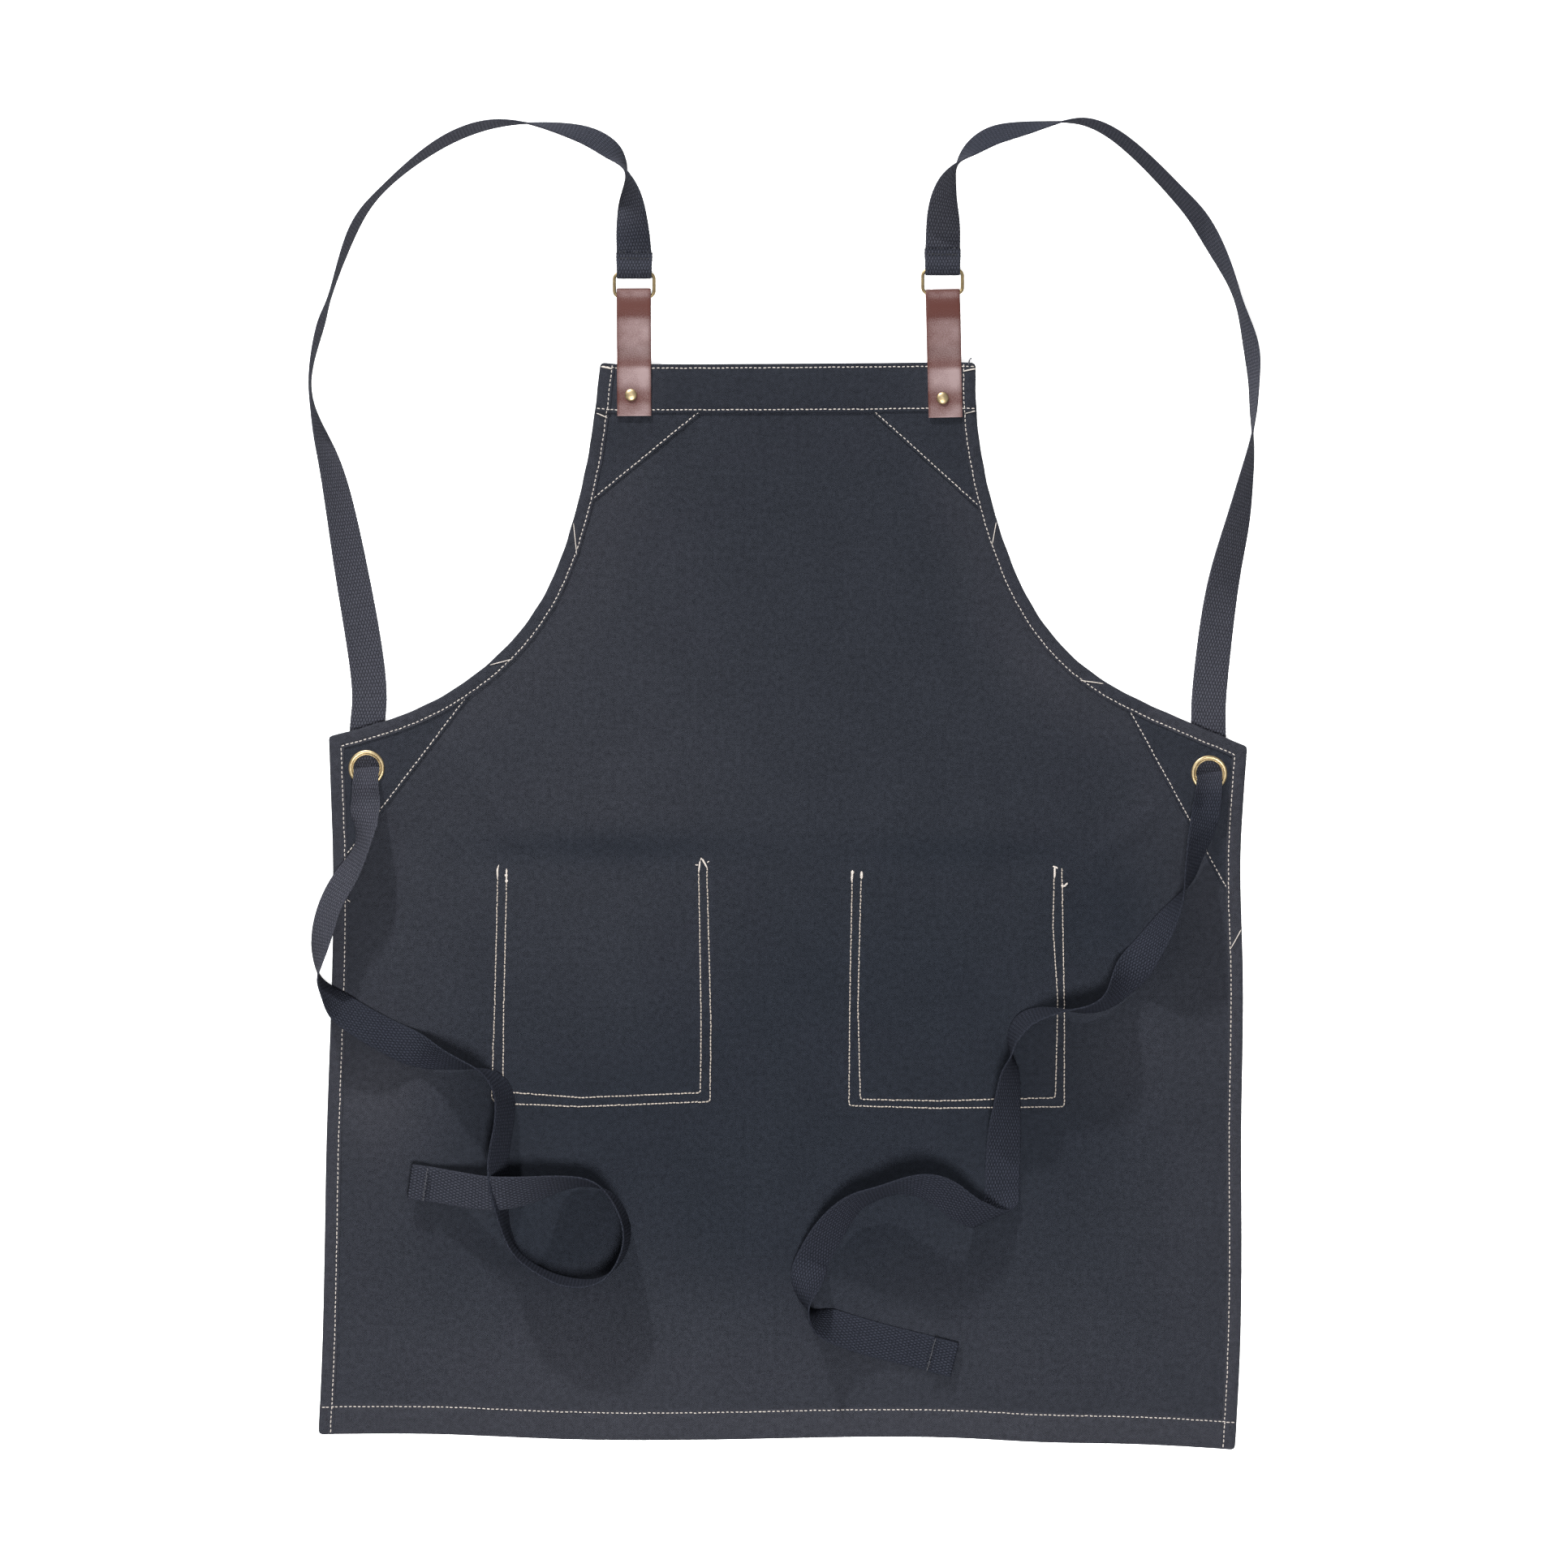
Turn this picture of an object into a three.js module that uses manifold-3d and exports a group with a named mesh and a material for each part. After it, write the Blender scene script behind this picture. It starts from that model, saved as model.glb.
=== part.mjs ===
import * as THREE from 'three';
import { mergeVertices } from 'three/addons/utils/BufferGeometryUtils.js';
import Module from 'manifold-3d';

// A cross-back kitchen apron lying flat on the floor with its inner side up, so that the turned hems
// and corner patches show and the pockets lie underneath.
// Millimetres, +Z up, bib towards +Y, floor at Z 0, origin under the middle of the whole apron.

const wasm = await Module();
wasm.setup();

// Driving dimensions
const gap = 0.35;
const twill = { thick: 1.0, hem: 1.0, cell: 30 };
const hem = { side: 11, bottom: 19.5, top: 36 };
const pocket = { width: 160, height: 180, hem: 22, hemThick: 0.8, cornerCut: 4 };
const webbing = { width: 25, thick: 1.5, spread: 1.1, step: 12, columns: 2 };
const leather = {
  width: 25.2,
  thick: 1.6,
  floorGap: 0.25,
  settle: { inside: 6, outside: 14, level: 12, sag: 0.3 },
};
const ring = { width: 31.4, height: 20, wire: 2.4, corner: 2.6, z: 3.3 };
const rivet = { cap: 4.5, capHeight: 2.2, post: 1.7, back: 4.2, backThick: 1.0, facets: 16 };
const eyelet = { outer: 13.3, bore: 9.6, barrel: 0.8, flange: 1.0, facets: 26 };

// Heights of the layers that lie under the panel
const tabBackZ = rivet.backThick + gap;
const bibRise = tabBackZ + leather.thick + gap;
const strapRunZ = 0.2 + webbing.thick / 2;
const eyeletBase = 0.2 + webbing.thick + gap;
const cornerRise = eyeletBase + eyelet.flange + gap;
const patchRise = twill.thick + gap;
const eyeletTop = cornerRise + twill.thick + patchRise + gap + eyelet.flange;
const pocketRise = twill.thick + gap;

// The two sides of the apron: places of the fittings and outline from the bib's top corner downwards
const sides = {
  left: {
    bib: [
      { x: -135.6, y: 310.2 },
      { x: -139.2, y: 279.6 },
      { x: -144.6, y: 243.6 },
      { x: -152.4, y: 207.6 },
      { x: -163.2, y: 171.6 },
      { x: -174.6, y: 144.6 },
      { x: -191.4, y: 117.6 },
      { x: -216.6, y: 90.6 },
      { x: -240.0, y: 72.6 },
      { x: -273.0, y: 54.6 },
      { x: -304.0, y: 43.6 },
      { x: -336.0, y: 35.1 },
    ],
    skirt: [
      { x: -333.2, y: -67.2 },
      { x: -333.4, y: -120.0 },
      { x: -337.5, y: -248.4 },
      { x: -341.0, y: -410.4 },
      { x: -343.8, y: -480.3 },
    ],
    tab: { x: -110.4, top: 366.0, bottom: 271.4, turn: 0.3 },
    ring: { x: -110.6, y: 368.4 },
    strapEnd: 392.4,
    rivet: { x: -112.8, y: 286.8 },
    eyelet: { x: -308.0, y: 11.7 },
    bibPatch: { top: { x: -62.0, y: 276 }, side: { x: -146.0, y: 206.5 } },
    sidePatch: { top: { x: -234.5, y: 66 }, side: { x: -329.0, y: -62.5 } },
    pocket: { x: -134.0, top: -60.5 },
  },
  right: {
    bib: [
      { x: 141.6, y: 309.6 },
      { x: 141.8, y: 279.6 },
      { x: 145.8, y: 243.6 },
      { x: 153.6, y: 207.6 },
      { x: 165.0, y: 171.6 },
      { x: 176.4, y: 144.6 },
      { x: 192.6, y: 117.6 },
      { x: 217.2, y: 90.6 },
      { x: 242.4, y: 72.6 },
      { x: 278.4, y: 54.6 },
      { x: 300.6, y: 44.8 },
      { x: 342.0, y: 27.6 },
    ],
    skirt: [
      { x: 337.2, y: -60.6 },
      { x: 339.0, y: -134.4 },
      { x: 337.8, y: -251.4 },
      { x: 337.4, y: -404.4 },
      { x: 333.0, y: -491.7 },
    ],
    tab: { x: 119.2, top: 365.4, bottom: 270.3, turn: 1.27 },
    ring: { x: 117.1, y: 370.8 },
    strapEnd: 395.4,
    rivet: { x: 117.0, y: 284.4 },
    eyelet: { x: 313.7, y: 7.8 },
    bibPatch: { top: { x: 67.0, y: 276 }, side: { x: 148.5, y: 204.5 } },
    sidePatch: { top: { x: 258.0, y: 56 }, side: { x: 332.5, y: -89.5 } },
    pocket: { x: 127.5, top: -63.5 },
  },
};
const hemLine = [
  { x: -246.6, y: -480.6 },
  { x: -174.6, y: -483.6 },
  { x: -126.6, y: -484.8 },
  { x: 65.4, y: -482.4 },
  { x: 137.4, y: -483.6 },
  { x: 185.4, y: -486.0 },
  { x: 257.4, y: -487.8 },
];

// Routes of the straps: the middle of the webbing from the ring to the eyelet and from the eyelet to the tip.
// tilt turns the webbing about its own run, in degrees: 0 is flat, positive lifts its right-hand edge,
// and past 90 that edge leans over to the other side. z is given only where the strap leaves its support.
const loops = {
  left: [
    { x: -111.5, y: 404, tilt: 8 },
    { x: -113.2, y: 432, tilt: 45 },
    { x: -116.5, y: 450, tilt: 90 },
    { x: -126.0, y: 465, tilt: 126 },
    { x: -143.5, y: 476.5, tilt: 131 },
    { x: -165.0, y: 482.5, tilt: 118 },
    { x: -188.5, y: 486, tilt: 101 },
    { x: -216.5, y: 485, tilt: 87 },
    { x: -253.5, y: 470.5, tilt: 83 },
    { x: -295.5, y: 437, tilt: 90 },
    { x: -317.5, y: 406, tilt: 82 },
    { x: -334.5, y: 357, tilt: 90 },
    { x: -340.5, y: 339, tilt: 84 },
    { x: -348.5, y: 302, tilt: 93 },
    { x: -346.5, y: 276, tilt: 85 },
    { x: -340.0, y: 254.5, tilt: 66 },
    { x: -332.5, y: 228, tilt: 50 },
    { x: -320.0, y: 159.5, tilt: 34 },
    { x: -310.5, y: 99.5, tilt: 18 },
    { x: -306.5, y: 62, tilt: 2 },
  ],
  right: [
    { x: 117.5, y: 408, tilt: -8 },
    { x: 118.0, y: 430, tilt: -38 },
    { x: 121.5, y: 444, tilt: -62 },
    { x: 127.5, y: 455.5, tilt: -92 },
    { x: 138.0, y: 467, tilt: -120 },
    { x: 153.5, y: 477, tilt: -131 },
    { x: 173.5, y: 482, tilt: -124 },
    { x: 197.0, y: 486, tilt: -106 },
    { x: 221.0, y: 487, tilt: -90 },
    { x: 254.5, y: 471, tilt: -82 },
    { x: 292.0, y: 433, tilt: -79 },
    { x: 318.5, y: 396.5, tilt: -76 },
    { x: 336.5, y: 352, tilt: -92 },
    { x: 345.0, y: 314, tilt: -82 },
    { x: 346.0, y: 290, tilt: -90 },
    { x: 344.5, y: 262, tilt: -98 },
    { x: 339.0, y: 224, tilt: -120 },
    { x: 335.5, y: 195, tilt: -134 },
    { x: 327.0, y: 159.5, tilt: -146 },
    { x: 318.5, y: 99.5, tilt: -160 },
    { x: 314.5, y: 58, tilt: -178 },
  ],
};
const tails = {
  left: [
    { x: -307.8, y: -28, tilt: -38 },
    { x: -310.8, y: -47.5, tilt: -60 },
    { x: -321.6, y: -67, tilt: -52 },
    { x: -333.6, y: -86.5, tilt: -48 },
    { x: -340.2, y: -108.5, tilt: -47 },
    { x: -342.6, y: -129.5, tilt: -66 },
    { x: -341.1, y: -143.4, tilt: -90, z: 15.6 },
    { x: -333.6, y: -154.2, tilt: -114 },
    { x: -325.8, y: -164.4, tilt: -140 },
    { x: -308.0, y: -177, tilt: -152 },
    { x: -281.4, y: -191.5, tilt: -172 },
    { x: -258.0, y: -201, tilt: -220 },
    { x: -238.8, y: -206, tilt: -248 },
    { x: -223.8, y: -210, tilt: -268 },
    { x: -212.4, y: -217, tilt: -288 },
    { x: -205.8, y: -230.5, tilt: -299 },
    { x: -206.4, y: -252, tilt: -300 },
    { x: -210.0, y: -275, tilt: -305 },
    { x: -209.4, y: -298, tilt: -308 },
    { x: -206.4, y: -319, tilt: -294 },
    { x: -197.4, y: -343, tilt: -283 },
    { x: -180.0, y: -357.5, tilt: -283 },
    { x: -159.6, y: -366, tilt: -284 },
    { x: -136.2, y: -365, tilt: -272 },
    { x: -121.2, y: -351, tilt: -263 },
    { x: -115.8, y: -328, tilt: -260 },
    { x: -126.6, y: -303.5, tilt: -268 },
    { x: -141.6, y: -294, tilt: -286 },
    { x: -159.6, y: -293, tilt: -298 },
    { x: -183.6, y: -297, tilt: -322, z: 20.5 },
    { x: -211.0, y: -300, tilt: -350, z: 22.5 },
    { x: -230.0, y: -299, tilt: -356, z: 17 },
    { x: -250.0, y: -296.5, tilt: -360, z: 8.2 },
    { x: -264.0, y: -294.5, tilt: -360, z: 4.8 },
  ],
  right: [
    { x: 310.2, y: -25, tilt: -165 },
    { x: 304.8, y: -47.5, tilt: -132 },
    { x: 298.2, y: -68.5, tilt: -104 },
    { x: 294.6, y: -77.5, tilt: -90 },
    { x: 285.6, y: -90.5, tilt: -64 },
    { x: 278.4, y: -103, tilt: -46 },
    { x: 266.4, y: -122.5, tilt: -14 },
    { x: 249.0, y: -146, tilt: 30 },
    { x: 238.2, y: -159, tilt: 58 },
    { x: 222.6, y: -165.5, tilt: 75 },
    { x: 205.2, y: -166.2, tilt: 90 },
    { x: 181.2, y: -171, tilt: 111 },
    { x: 172.2, y: -179, tilt: 112 },
    { x: 167.4, y: -189.5, tilt: 100 },
    { x: 166.8, y: -199, tilt: 86 },
    { x: 166.2, y: -211, tilt: 58 },
    { x: 164.4, y: -233, tilt: 38 },
    { x: 162.6, y: -255, tilt: 18 },
    { x: 161.6, y: -277, tilt: 4 },
    { x: 161.0, y: -292, tilt: 0, bearing: 181 },
    { x: 160.8, y: -303, tilt: -1, bearing: 187, z: 2.4 },
    { x: 159.3, y: -312, tilt: -4, bearing: 193, z: 3.3 },
    { x: 154.5, y: -319.5, tilt: -9, bearing: 203, z: 4.7 },
    { x: 149.4, y: -320.5, tilt: -14, bearing: 211, z: 6.8 },
    { x: 142.5, y: -317.1, tilt: -18, bearing: 218, z: 7.6 },
    { x: 133.2, y: -312.2, tilt: -20, bearing: 226, z: 7.4 },
    { x: 118.2, y: -300.5, tilt: 205 },
    { x: 100.2, y: -294, tilt: 233 },
    { x: 82.8, y: -295.2, tilt: 253 },
    { x: 70.2, y: -299.4, tilt: 258 },
    { x: 54.6, y: -306, tilt: 245 },
    { x: 41.4, y: -318, tilt: 230 },
    { x: 29.4, y: -335.5, tilt: 211 },
    { x: 19.8, y: -355, tilt: 192 },
    { x: 15.6, y: -372.5, tilt: 130 },
    { x: 18.0, y: -387, tilt: 90 },
    { x: 28.8, y: -394, tilt: 36 },
    { x: 43.8, y: -401, tilt: 16 },
    { x: 70.2, y: -411, tilt: 4 },
    { x: 96.0, y: -417.6, tilt: 0 },
    { x: 108.6, y: -420.8, tilt: 0 },
  ],
};
const sewnEnd = { squeeze: 0.95, level: 10, rise: 0.5 };
const tipFold = { length: 14, radius: 1.15, straight: 2 };

// Solids and geometries
function toSolid(geometry) {
  const bare = geometry.clone();
  bare.deleteAttribute('normal');
  bare.deleteAttribute('uv');
  const merged = mergeVertices(bare, 1e-4);
  const vertProperties = new Float32Array(merged.attributes.position.array);
  const triVerts = new Uint32Array(merged.index.array);
  return new wasm.Manifold(new wasm.Mesh({ numProp: 3, vertProperties, triVerts }));
}

function toGeometry(solid) {
  const mesh = solid.getMesh();
  const geometry = new THREE.BufferGeometry();
  geometry.setAttribute('position', new THREE.BufferAttribute(mesh.vertProperties, 3));
  geometry.setIndex(new THREE.BufferAttribute(mesh.triVerts, 1));
  geometry.computeVertexNormals();
  return geometry;
}

const tall = 80;

// An upright prism over an outline, tall enough to cut any layer
function prism(outline) {
  const shape = new THREE.Shape(outline);
  const geometry = new THREE.ExtrudeGeometry(shape, { depth: tall, bevelEnabled: false });
  return toSolid(geometry.translate(0, 0, -tall / 2));
}

function drill(place, radius, sidesRound) {
  const geometry = new THREE.CylinderGeometry(radius, radius, tall, sidesRound);
  return toSolid(geometry.rotateX(Math.PI / 2).translate(place.x, place.y, 0));
}

const eyeletHole = (place) => drill(place, eyelet.bore + eyelet.barrel + gap, eyelet.facets);
const rivetHole = (place) => drill(place, rivet.post + gap, rivet.facets);

// Multiples of the cloth's cell that reach past both ends of a stretch
function gridLines(low, high) {
  const lines = [];
  for (let i = Math.ceil(low / twill.cell) - 1; i <= Math.floor(high / twill.cell) + 1; i++) {
    lines.push(i * twill.cell);
  }
  return lines;
}

// A slab whose underside follows the height function under(x, y). Every slab has its corners on the same grid
// and the same diagonals above and below, so slabs that follow one height function nest without crossing.
function slab(xs, ys, under, thick) {
  const points = [];
  for (const up of [0, thick]) {
    for (const y of ys) {
      points.push(...xs.map((x) => new THREE.Vector3(x, y, under(x, y) + up)));
    }
  }
  const across = xs.length;
  const top = across * ys.length;
  const triangles = [];
  for (let row = 0; row < ys.length - 1; row++) {
    for (let column = 0; column < across - 1; column++) {
      const a = row * across + column;
      const [b, c, d] = [a + 1, a + 1 + across, a + across];
      triangles.push(a, c, b, a, d, c);
      triangles.push(top + a, top + b, top + c, top + a, top + c, top + d);
    }
  }
  const near = xs.map((_, i) => i);
  const right = ys.map((_, i) => i * across + across - 1);
  const far = near.map((i) => top - across + i).toReversed();
  const left = ys.map((_, i) => i * across).toReversed();
  const rim = [...near.slice(1), ...right.slice(1), ...far.slice(1), ...left.slice(1)];
  rim.forEach((p, i) => {
    const q = rim[(i + 1) % rim.length];
    triangles.push(p, q, top + q, p, top + q, top + p);
  });
  return new THREE.BufferGeometry().setFromPoints(points).setIndex(triangles);
}

// A layer of cloth cut to an outline
function cutCloth(outline, under, thick) {
  const box = new THREE.Box2().setFromPoints(outline);
  const layer = slab(gridLines(box.min.x, box.max.x), gridLines(box.min.y, box.max.y), under, thick);
  return toSolid(layer).intersect(prism(outline));
}

// Sections, each run anticlockwise about the way ahead, joined into one skin: closed into a loop, or
// capped at both ends by a ladder between the two faces of the end section
function loft(sections, closed = false) {
  const around = sections[0].length;
  const points = sections.flat();
  const triangles = [];
  const last = closed ? sections.length : sections.length - 1;
  for (let s = 0; s < last; s++) {
    const here = s * around;
    const next = ((s + 1) % sections.length) * around;
    for (let i = 0; i < around; i++) {
      const j = (i + 1) % around;
      triangles.push(here + i, here + j, next + j, here + i, next + j, next + i);
    }
  }
  if (!closed) {
    const end = (sections.length - 1) * around;
    for (let i = 0; i < around / 2 - 1; i++) {
      const [a, b, c, d] = [i, i + 1, around - 2 - i, around - 1 - i];
      triangles.push(a, c, b, a, d, c);
      triangles.push(end + a, end + b, end + c, end + a, end + c, end + d);
    }
  }
  const geometry = new THREE.BufferGeometry().setFromPoints(points);
  geometry.setIndex(triangles);
  geometry.computeVertexNormals();
  return geometry;
}

// Outline of the panel, run anticlockwise: down the left side, along the hem and up the right side
function smooth(rows, parts) {
  return new THREE.SplineCurve(rows.map((row) => new THREE.Vector2(row.x, row.y))).getPoints(parts);
}

const corner = (rows) => rows[rows.length - 1];
const leftBib = smooth(sides.left.bib, 26);
const leftSkirt = smooth([corner(sides.left.bib), ...sides.left.skirt], 10);
const rightBib = smooth(sides.right.bib, 26);
const rightSkirt = smooth([corner(sides.right.bib), ...sides.right.skirt], 10);
const bottomEdge = smooth([corner(sides.left.skirt), ...hemLine, corner(sides.right.skirt)], 16);
const topEdge = [rightBib[0], leftBib[0]];
const outline = [
  ...leftBib,
  ...leftSkirt.slice(1),
  ...bottomEdge.slice(1),
  ...rightSkirt.toReversed().slice(1),
  ...rightBib.toReversed().slice(1),
];

// The strip of a given width inside an edge, the inside being to the left of its run, and a margin outside it
function edgeStrip(edge, width) {
  const outside = 3;
  const offset = (distance) =>
    edge.map((point, i) => {
      const before = edge[Math.max(i - 1, 0)];
      const after = edge[Math.min(i + 1, edge.length - 1)];
      const run = after.clone().sub(before).normalize();
      return new THREE.Vector2(point.x - run.y * distance, point.y + run.x * distance);
    });
  return [...offset(-outside), ...offset(width).toReversed()];
}

const hemEdges = [
  { edge: leftBib, width: hem.side },
  { edge: leftSkirt, width: hem.side },
  { edge: bottomEdge, width: hem.bottom },
  { edge: rightSkirt.toReversed(), width: hem.side },
  { edge: rightBib.toReversed(), width: hem.side },
  { edge: topEdge, width: hem.top },
];

function insideOf(polygon, x, y) {
  let inside = false;
  polygon.forEach((a, i) => {
    const b = polygon[(i + 1) % polygon.length];
    const crosses = a.y > y !== b.y > y;
    if (crosses && x < a.x + ((y - a.y) / (b.y - a.y)) * (b.x - a.x)) {
      inside = !inside;
    }
  });
  return inside;
}

// Lifts of the panel over what lies beneath it: a flat top of the given half sizes with a soft skirt
function liftsOf(side) {
  const margin = twill.cell;
  const pocketMid = side.pocket.top - pocket.height / 2;
  return [
    {
      x: side.pocket.x,
      y: pocketMid,
      halfX: pocket.width / 2 + margin,
      halfY: pocket.height / 2 + margin,
      rise: pocketRise,
      skirt: 30,
    },
    {
      x: side.pocket.x,
      y: side.pocket.top - pocket.hem / 2,
      halfX: pocket.width / 2 + margin,
      halfY: pocket.hem / 2 + margin,
      rise: pocketRise + pocket.hemThick,
      skirt: 30,
    },
    {
      x: side.tab.x,
      y: (side.tab.bottom + side.bib[0].y) / 2,
      halfX: leather.width / 2 + margin,
      halfY: (side.bib[0].y - side.tab.bottom) / 2 + margin,
      rise: bibRise,
      skirt: 40,
    },
    {
      x: side.eyelet.x,
      y: side.eyelet.y + 12,
      halfX: eyelet.outer + margin,
      halfY: eyelet.outer + 12 + margin,
      rise: cornerRise,
      skirt: 40,
    },
  ];
}

const lifts = [...liftsOf(sides.left), ...liftsOf(sides.right)];

function liftAt(x, y) {
  let height = 0;
  for (const lift of lifts) {
    const outX = Math.max(0, Math.abs(x - lift.x) - lift.halfX);
    const outY = Math.max(0, Math.abs(y - lift.y) - lift.halfY);
    const share = THREE.MathUtils.smoothstep(lift.skirt - Math.hypot(outX, outY), 0, lift.skirt);
    height = Math.max(height, lift.rise * share);
  }
  return height;
}

// Height of the panel's underside on the flat facet that holds a place, between the corners of its cell
function panelUnder(x, y) {
  const column = Math.floor(x / twill.cell);
  const row = Math.floor(y / twill.cell);
  const u = x / twill.cell - column;
  const v = y / twill.cell - row;
  const cornerLift = (i, j) => liftAt((column + i) * twill.cell, (row + j) * twill.cell);
  const [near, far] = [cornerLift(0, 0), cornerLift(1, 1)];
  const between = u > v ? cornerLift(1, 0) : cornerLift(0, 1);
  return near + Math.max(u, v) * (between - near) + Math.min(u, v) * (far - between);
}

const panelTop = (x, y) => panelUnder(x, y) + twill.thick;

// Triangles of the corner patches, reaching past the panel's edge so that the hems trim them
function patchTriangle(patch, cornerPoint) {
  const reach = 0.2;
  const past = 20;
  const top = new THREE.Vector2(patch.top.x, patch.top.y);
  const low = new THREE.Vector2(patch.side.x, patch.side.y);
  const out = new THREE.Vector2(cornerPoint.x + past * Math.sign(cornerPoint.x), cornerPoint.y + past);
  return [low.clone().lerp(top, 1 + reach), out, top.clone().lerp(low, 1 + reach)];
}

const hemStrips = hemEdges.map(({ edge, width }) => edgeStrip(edge, width));
const hemClearance = hemEdges.map(({ edge, width }) => prism(edgeStrip(edge, width + gap)));
const sidePatchTriangles = Object.fromEntries(
  Object.entries(sides).map(([name, side]) => [name, patchTriangle(side.sidePatch, corner(side.bib))]),
);

// Height of whatever a strap rests on at a place: floor, panel, hem or side patch
function supportAt(x, y) {
  if (!insideOf(outline, x, y)) {
    return 0;
  }
  let height = panelTop(x, y);
  if (hemStrips.some((strip) => insideOf(strip, x, y))) {
    height = Math.max(height, panelTop(x, y) + twill.hem);
  }
  if (Object.values(sidePatchTriangles).some((triangle) => insideOf(triangle, x, y))) {
    height = Math.max(height, panelTop(x, y) + patchRise);
  }
  return height;
}

function makePanel() {
  let solid = cutCloth(outline, panelUnder, twill.thick);
  const overlap = 0.4;
  for (const strip of hemStrips) {
    const turned = cutCloth(strip, (x, y) => panelTop(x, y) - overlap, twill.hem + overlap);
    solid = solid.add(turned.intersect(prism(outline)));
  }
  for (const side of Object.values(sides)) {
    solid = solid.subtract(eyeletHole(side.eyelet)).subtract(rivetHole(side.rivet));
  }
  return toGeometry(solid);
}

function makePatch(triangle, holes) {
  let solid = cutCloth(triangle, (x, y) => panelTop(x, y) + gap, twill.thick).intersect(prism(outline));
  for (const clearance of hemClearance) {
    solid = solid.subtract(clearance);
  }
  for (const hole of holes) {
    solid = solid.subtract(hole);
  }
  return toGeometry(solid);
}

// A pocket cloth flat on the floor, its two lower corners nipped and its top edge doubled
function makePocket(side) {
  const half = pocket.width / 2;
  const low = side.pocket.top - pocket.height;
  const cut = pocket.cornerCut;
  const left = side.pocket.x - half;
  const right = side.pocket.x + half;
  const shape = [
    new THREE.Vector2(left, side.pocket.top),
    new THREE.Vector2(left, low + cut),
    new THREE.Vector2(left + cut, low),
    new THREE.Vector2(right - cut, low),
    new THREE.Vector2(right, low + cut),
    new THREE.Vector2(right, side.pocket.top),
  ];
  const thick = twill.thick + pocket.hemThick;
  const band = new THREE.BoxGeometry(pocket.width, pocket.hem, thick);
  band.translate(side.pocket.x, side.pocket.top - pocket.hem / 2, thick / 2);
  const body = cutCloth(shape, () => 0, twill.thick);
  return toGeometry(body.add(toSolid(band)));
}

// The leather strip seen from its edge, y along the tab from its lower end and z up, as a band of even
// thickness: behind the bib, round the ring's lower bar and back over the bib
function makeTab(side) {
  const { tab } = side;
  const half = leather.thick / 2;
  const edgeY = side.bib[0].y - tab.bottom;
  const backZ = tabBackZ + half;
  const frontZ = bibRise + twill.thick + twill.hem + gap + half;
  const lowZ = leather.floorGap + half;
  const highZ = ring.z + ring.wire / 2 + gap + half;
  const radius = (highZ - lowZ) / 2;
  const bendY = tab.top - tab.bottom - radius - half;
  const { inside, outside, level, sag } = leather.settle;
  const middle = [
    new THREE.Vector2(0, backZ),
    new THREE.Vector2(edgeY - inside, backZ),
    new THREE.Vector2(edgeY + outside, lowZ + sag),
    new THREE.Vector2(bendY - level, lowZ),
  ];
  const turns = 8;
  for (let i = 0; i <= turns; i++) {
    const angle = -Math.PI / 2 + (Math.PI * i) / turns;
    const z = lowZ + radius + radius * Math.sin(angle);
    middle.push(new THREE.Vector2(bendY + radius * Math.cos(angle), z));
  }
  middle.push(
    new THREE.Vector2(bendY - level, highZ),
    new THREE.Vector2(edgeY + outside, highZ + sag),
    new THREE.Vector2(edgeY + inside / 2, frontZ),
    new THREE.Vector2(0, frontZ),
  );
  const sections = middle.map((point, i) => {
    const before = middle[Math.max(i - 1, 0)];
    const after = middle[Math.min(i + 1, middle.length - 1)];
    const run = after.clone().sub(before).normalize();
    const at = (x, s) => new THREE.Vector3(x, point.x - run.y * half * s, point.y + run.x * half * s);
    const w = leather.width / 2;
    return [at(-w, 1), at(w, 1), at(w, -1), at(-w, -1)];
  });
  const hole = rivetHole(tabPlace(side, side.rivet));
  const group = new THREE.Group();
  group.position.set(tab.x, tab.bottom, 0);
  group.rotation.z = THREE.MathUtils.degToRad(tab.turn);
  return { group, geometry: toGeometry(toSolid(loft(sections)).subtract(hole)) };
}

// A place of the apron as the turned leather tab sees it
function tabPlace(side, place) {
  const offset = new THREE.Vector2(place.x - side.tab.x, place.y - side.tab.bottom);
  return offset.rotateAround(new THREE.Vector2(0, 0), -THREE.MathUtils.degToRad(side.tab.turn));
}

// A rectangular wire ring with round corners, lying level
function makeRing(side) {
  const w = (ring.width - ring.wire) / 2;
  const h = (ring.height - ring.wire) / 2;
  const r = ring.corner;
  const path = [];
  const quarter = 4;
  const corners = [
    { x: w - r, y: h - r, from: 0 },
    { x: r - w, y: h - r, from: 90 },
    { x: r - w, y: r - h, from: 180 },
    { x: w - r, y: r - h, from: 270 },
  ];
  for (const { x, y, from } of corners) {
    for (let i = 0; i <= quarter; i++) {
      const angle = THREE.MathUtils.degToRad(from + (90 * i) / quarter);
      path.push({ x: x + r * Math.cos(angle), y: y + r * Math.sin(angle), angle });
    }
  }
  const around = 10;
  const sections = path.map(({ x, y, angle }) => {
    const section = [];
    for (let i = 0; i < around; i++) {
      const turn = (2 * Math.PI * i) / around;
      const out = (ring.wire / 2) * Math.cos(turn);
      const up = (ring.wire / 2) * Math.sin(turn);
      section.push(new THREE.Vector3(x + out * Math.cos(angle), y + out * Math.sin(angle), ring.z + up));
    }
    return section.toReversed();
  });
  const geometry = loft(sections, true);
  return geometry.translate(side.ring.x, side.ring.y, 0);
}

function lathe(profile, place, facets) {
  const points = profile.map(([r, z]) => new THREE.Vector2(r, z));
  const geometry = new THREE.LatheGeometry(points, facets);
  return geometry.rotateX(Math.PI / 2).translate(place.x, place.y, 0);
}

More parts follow.
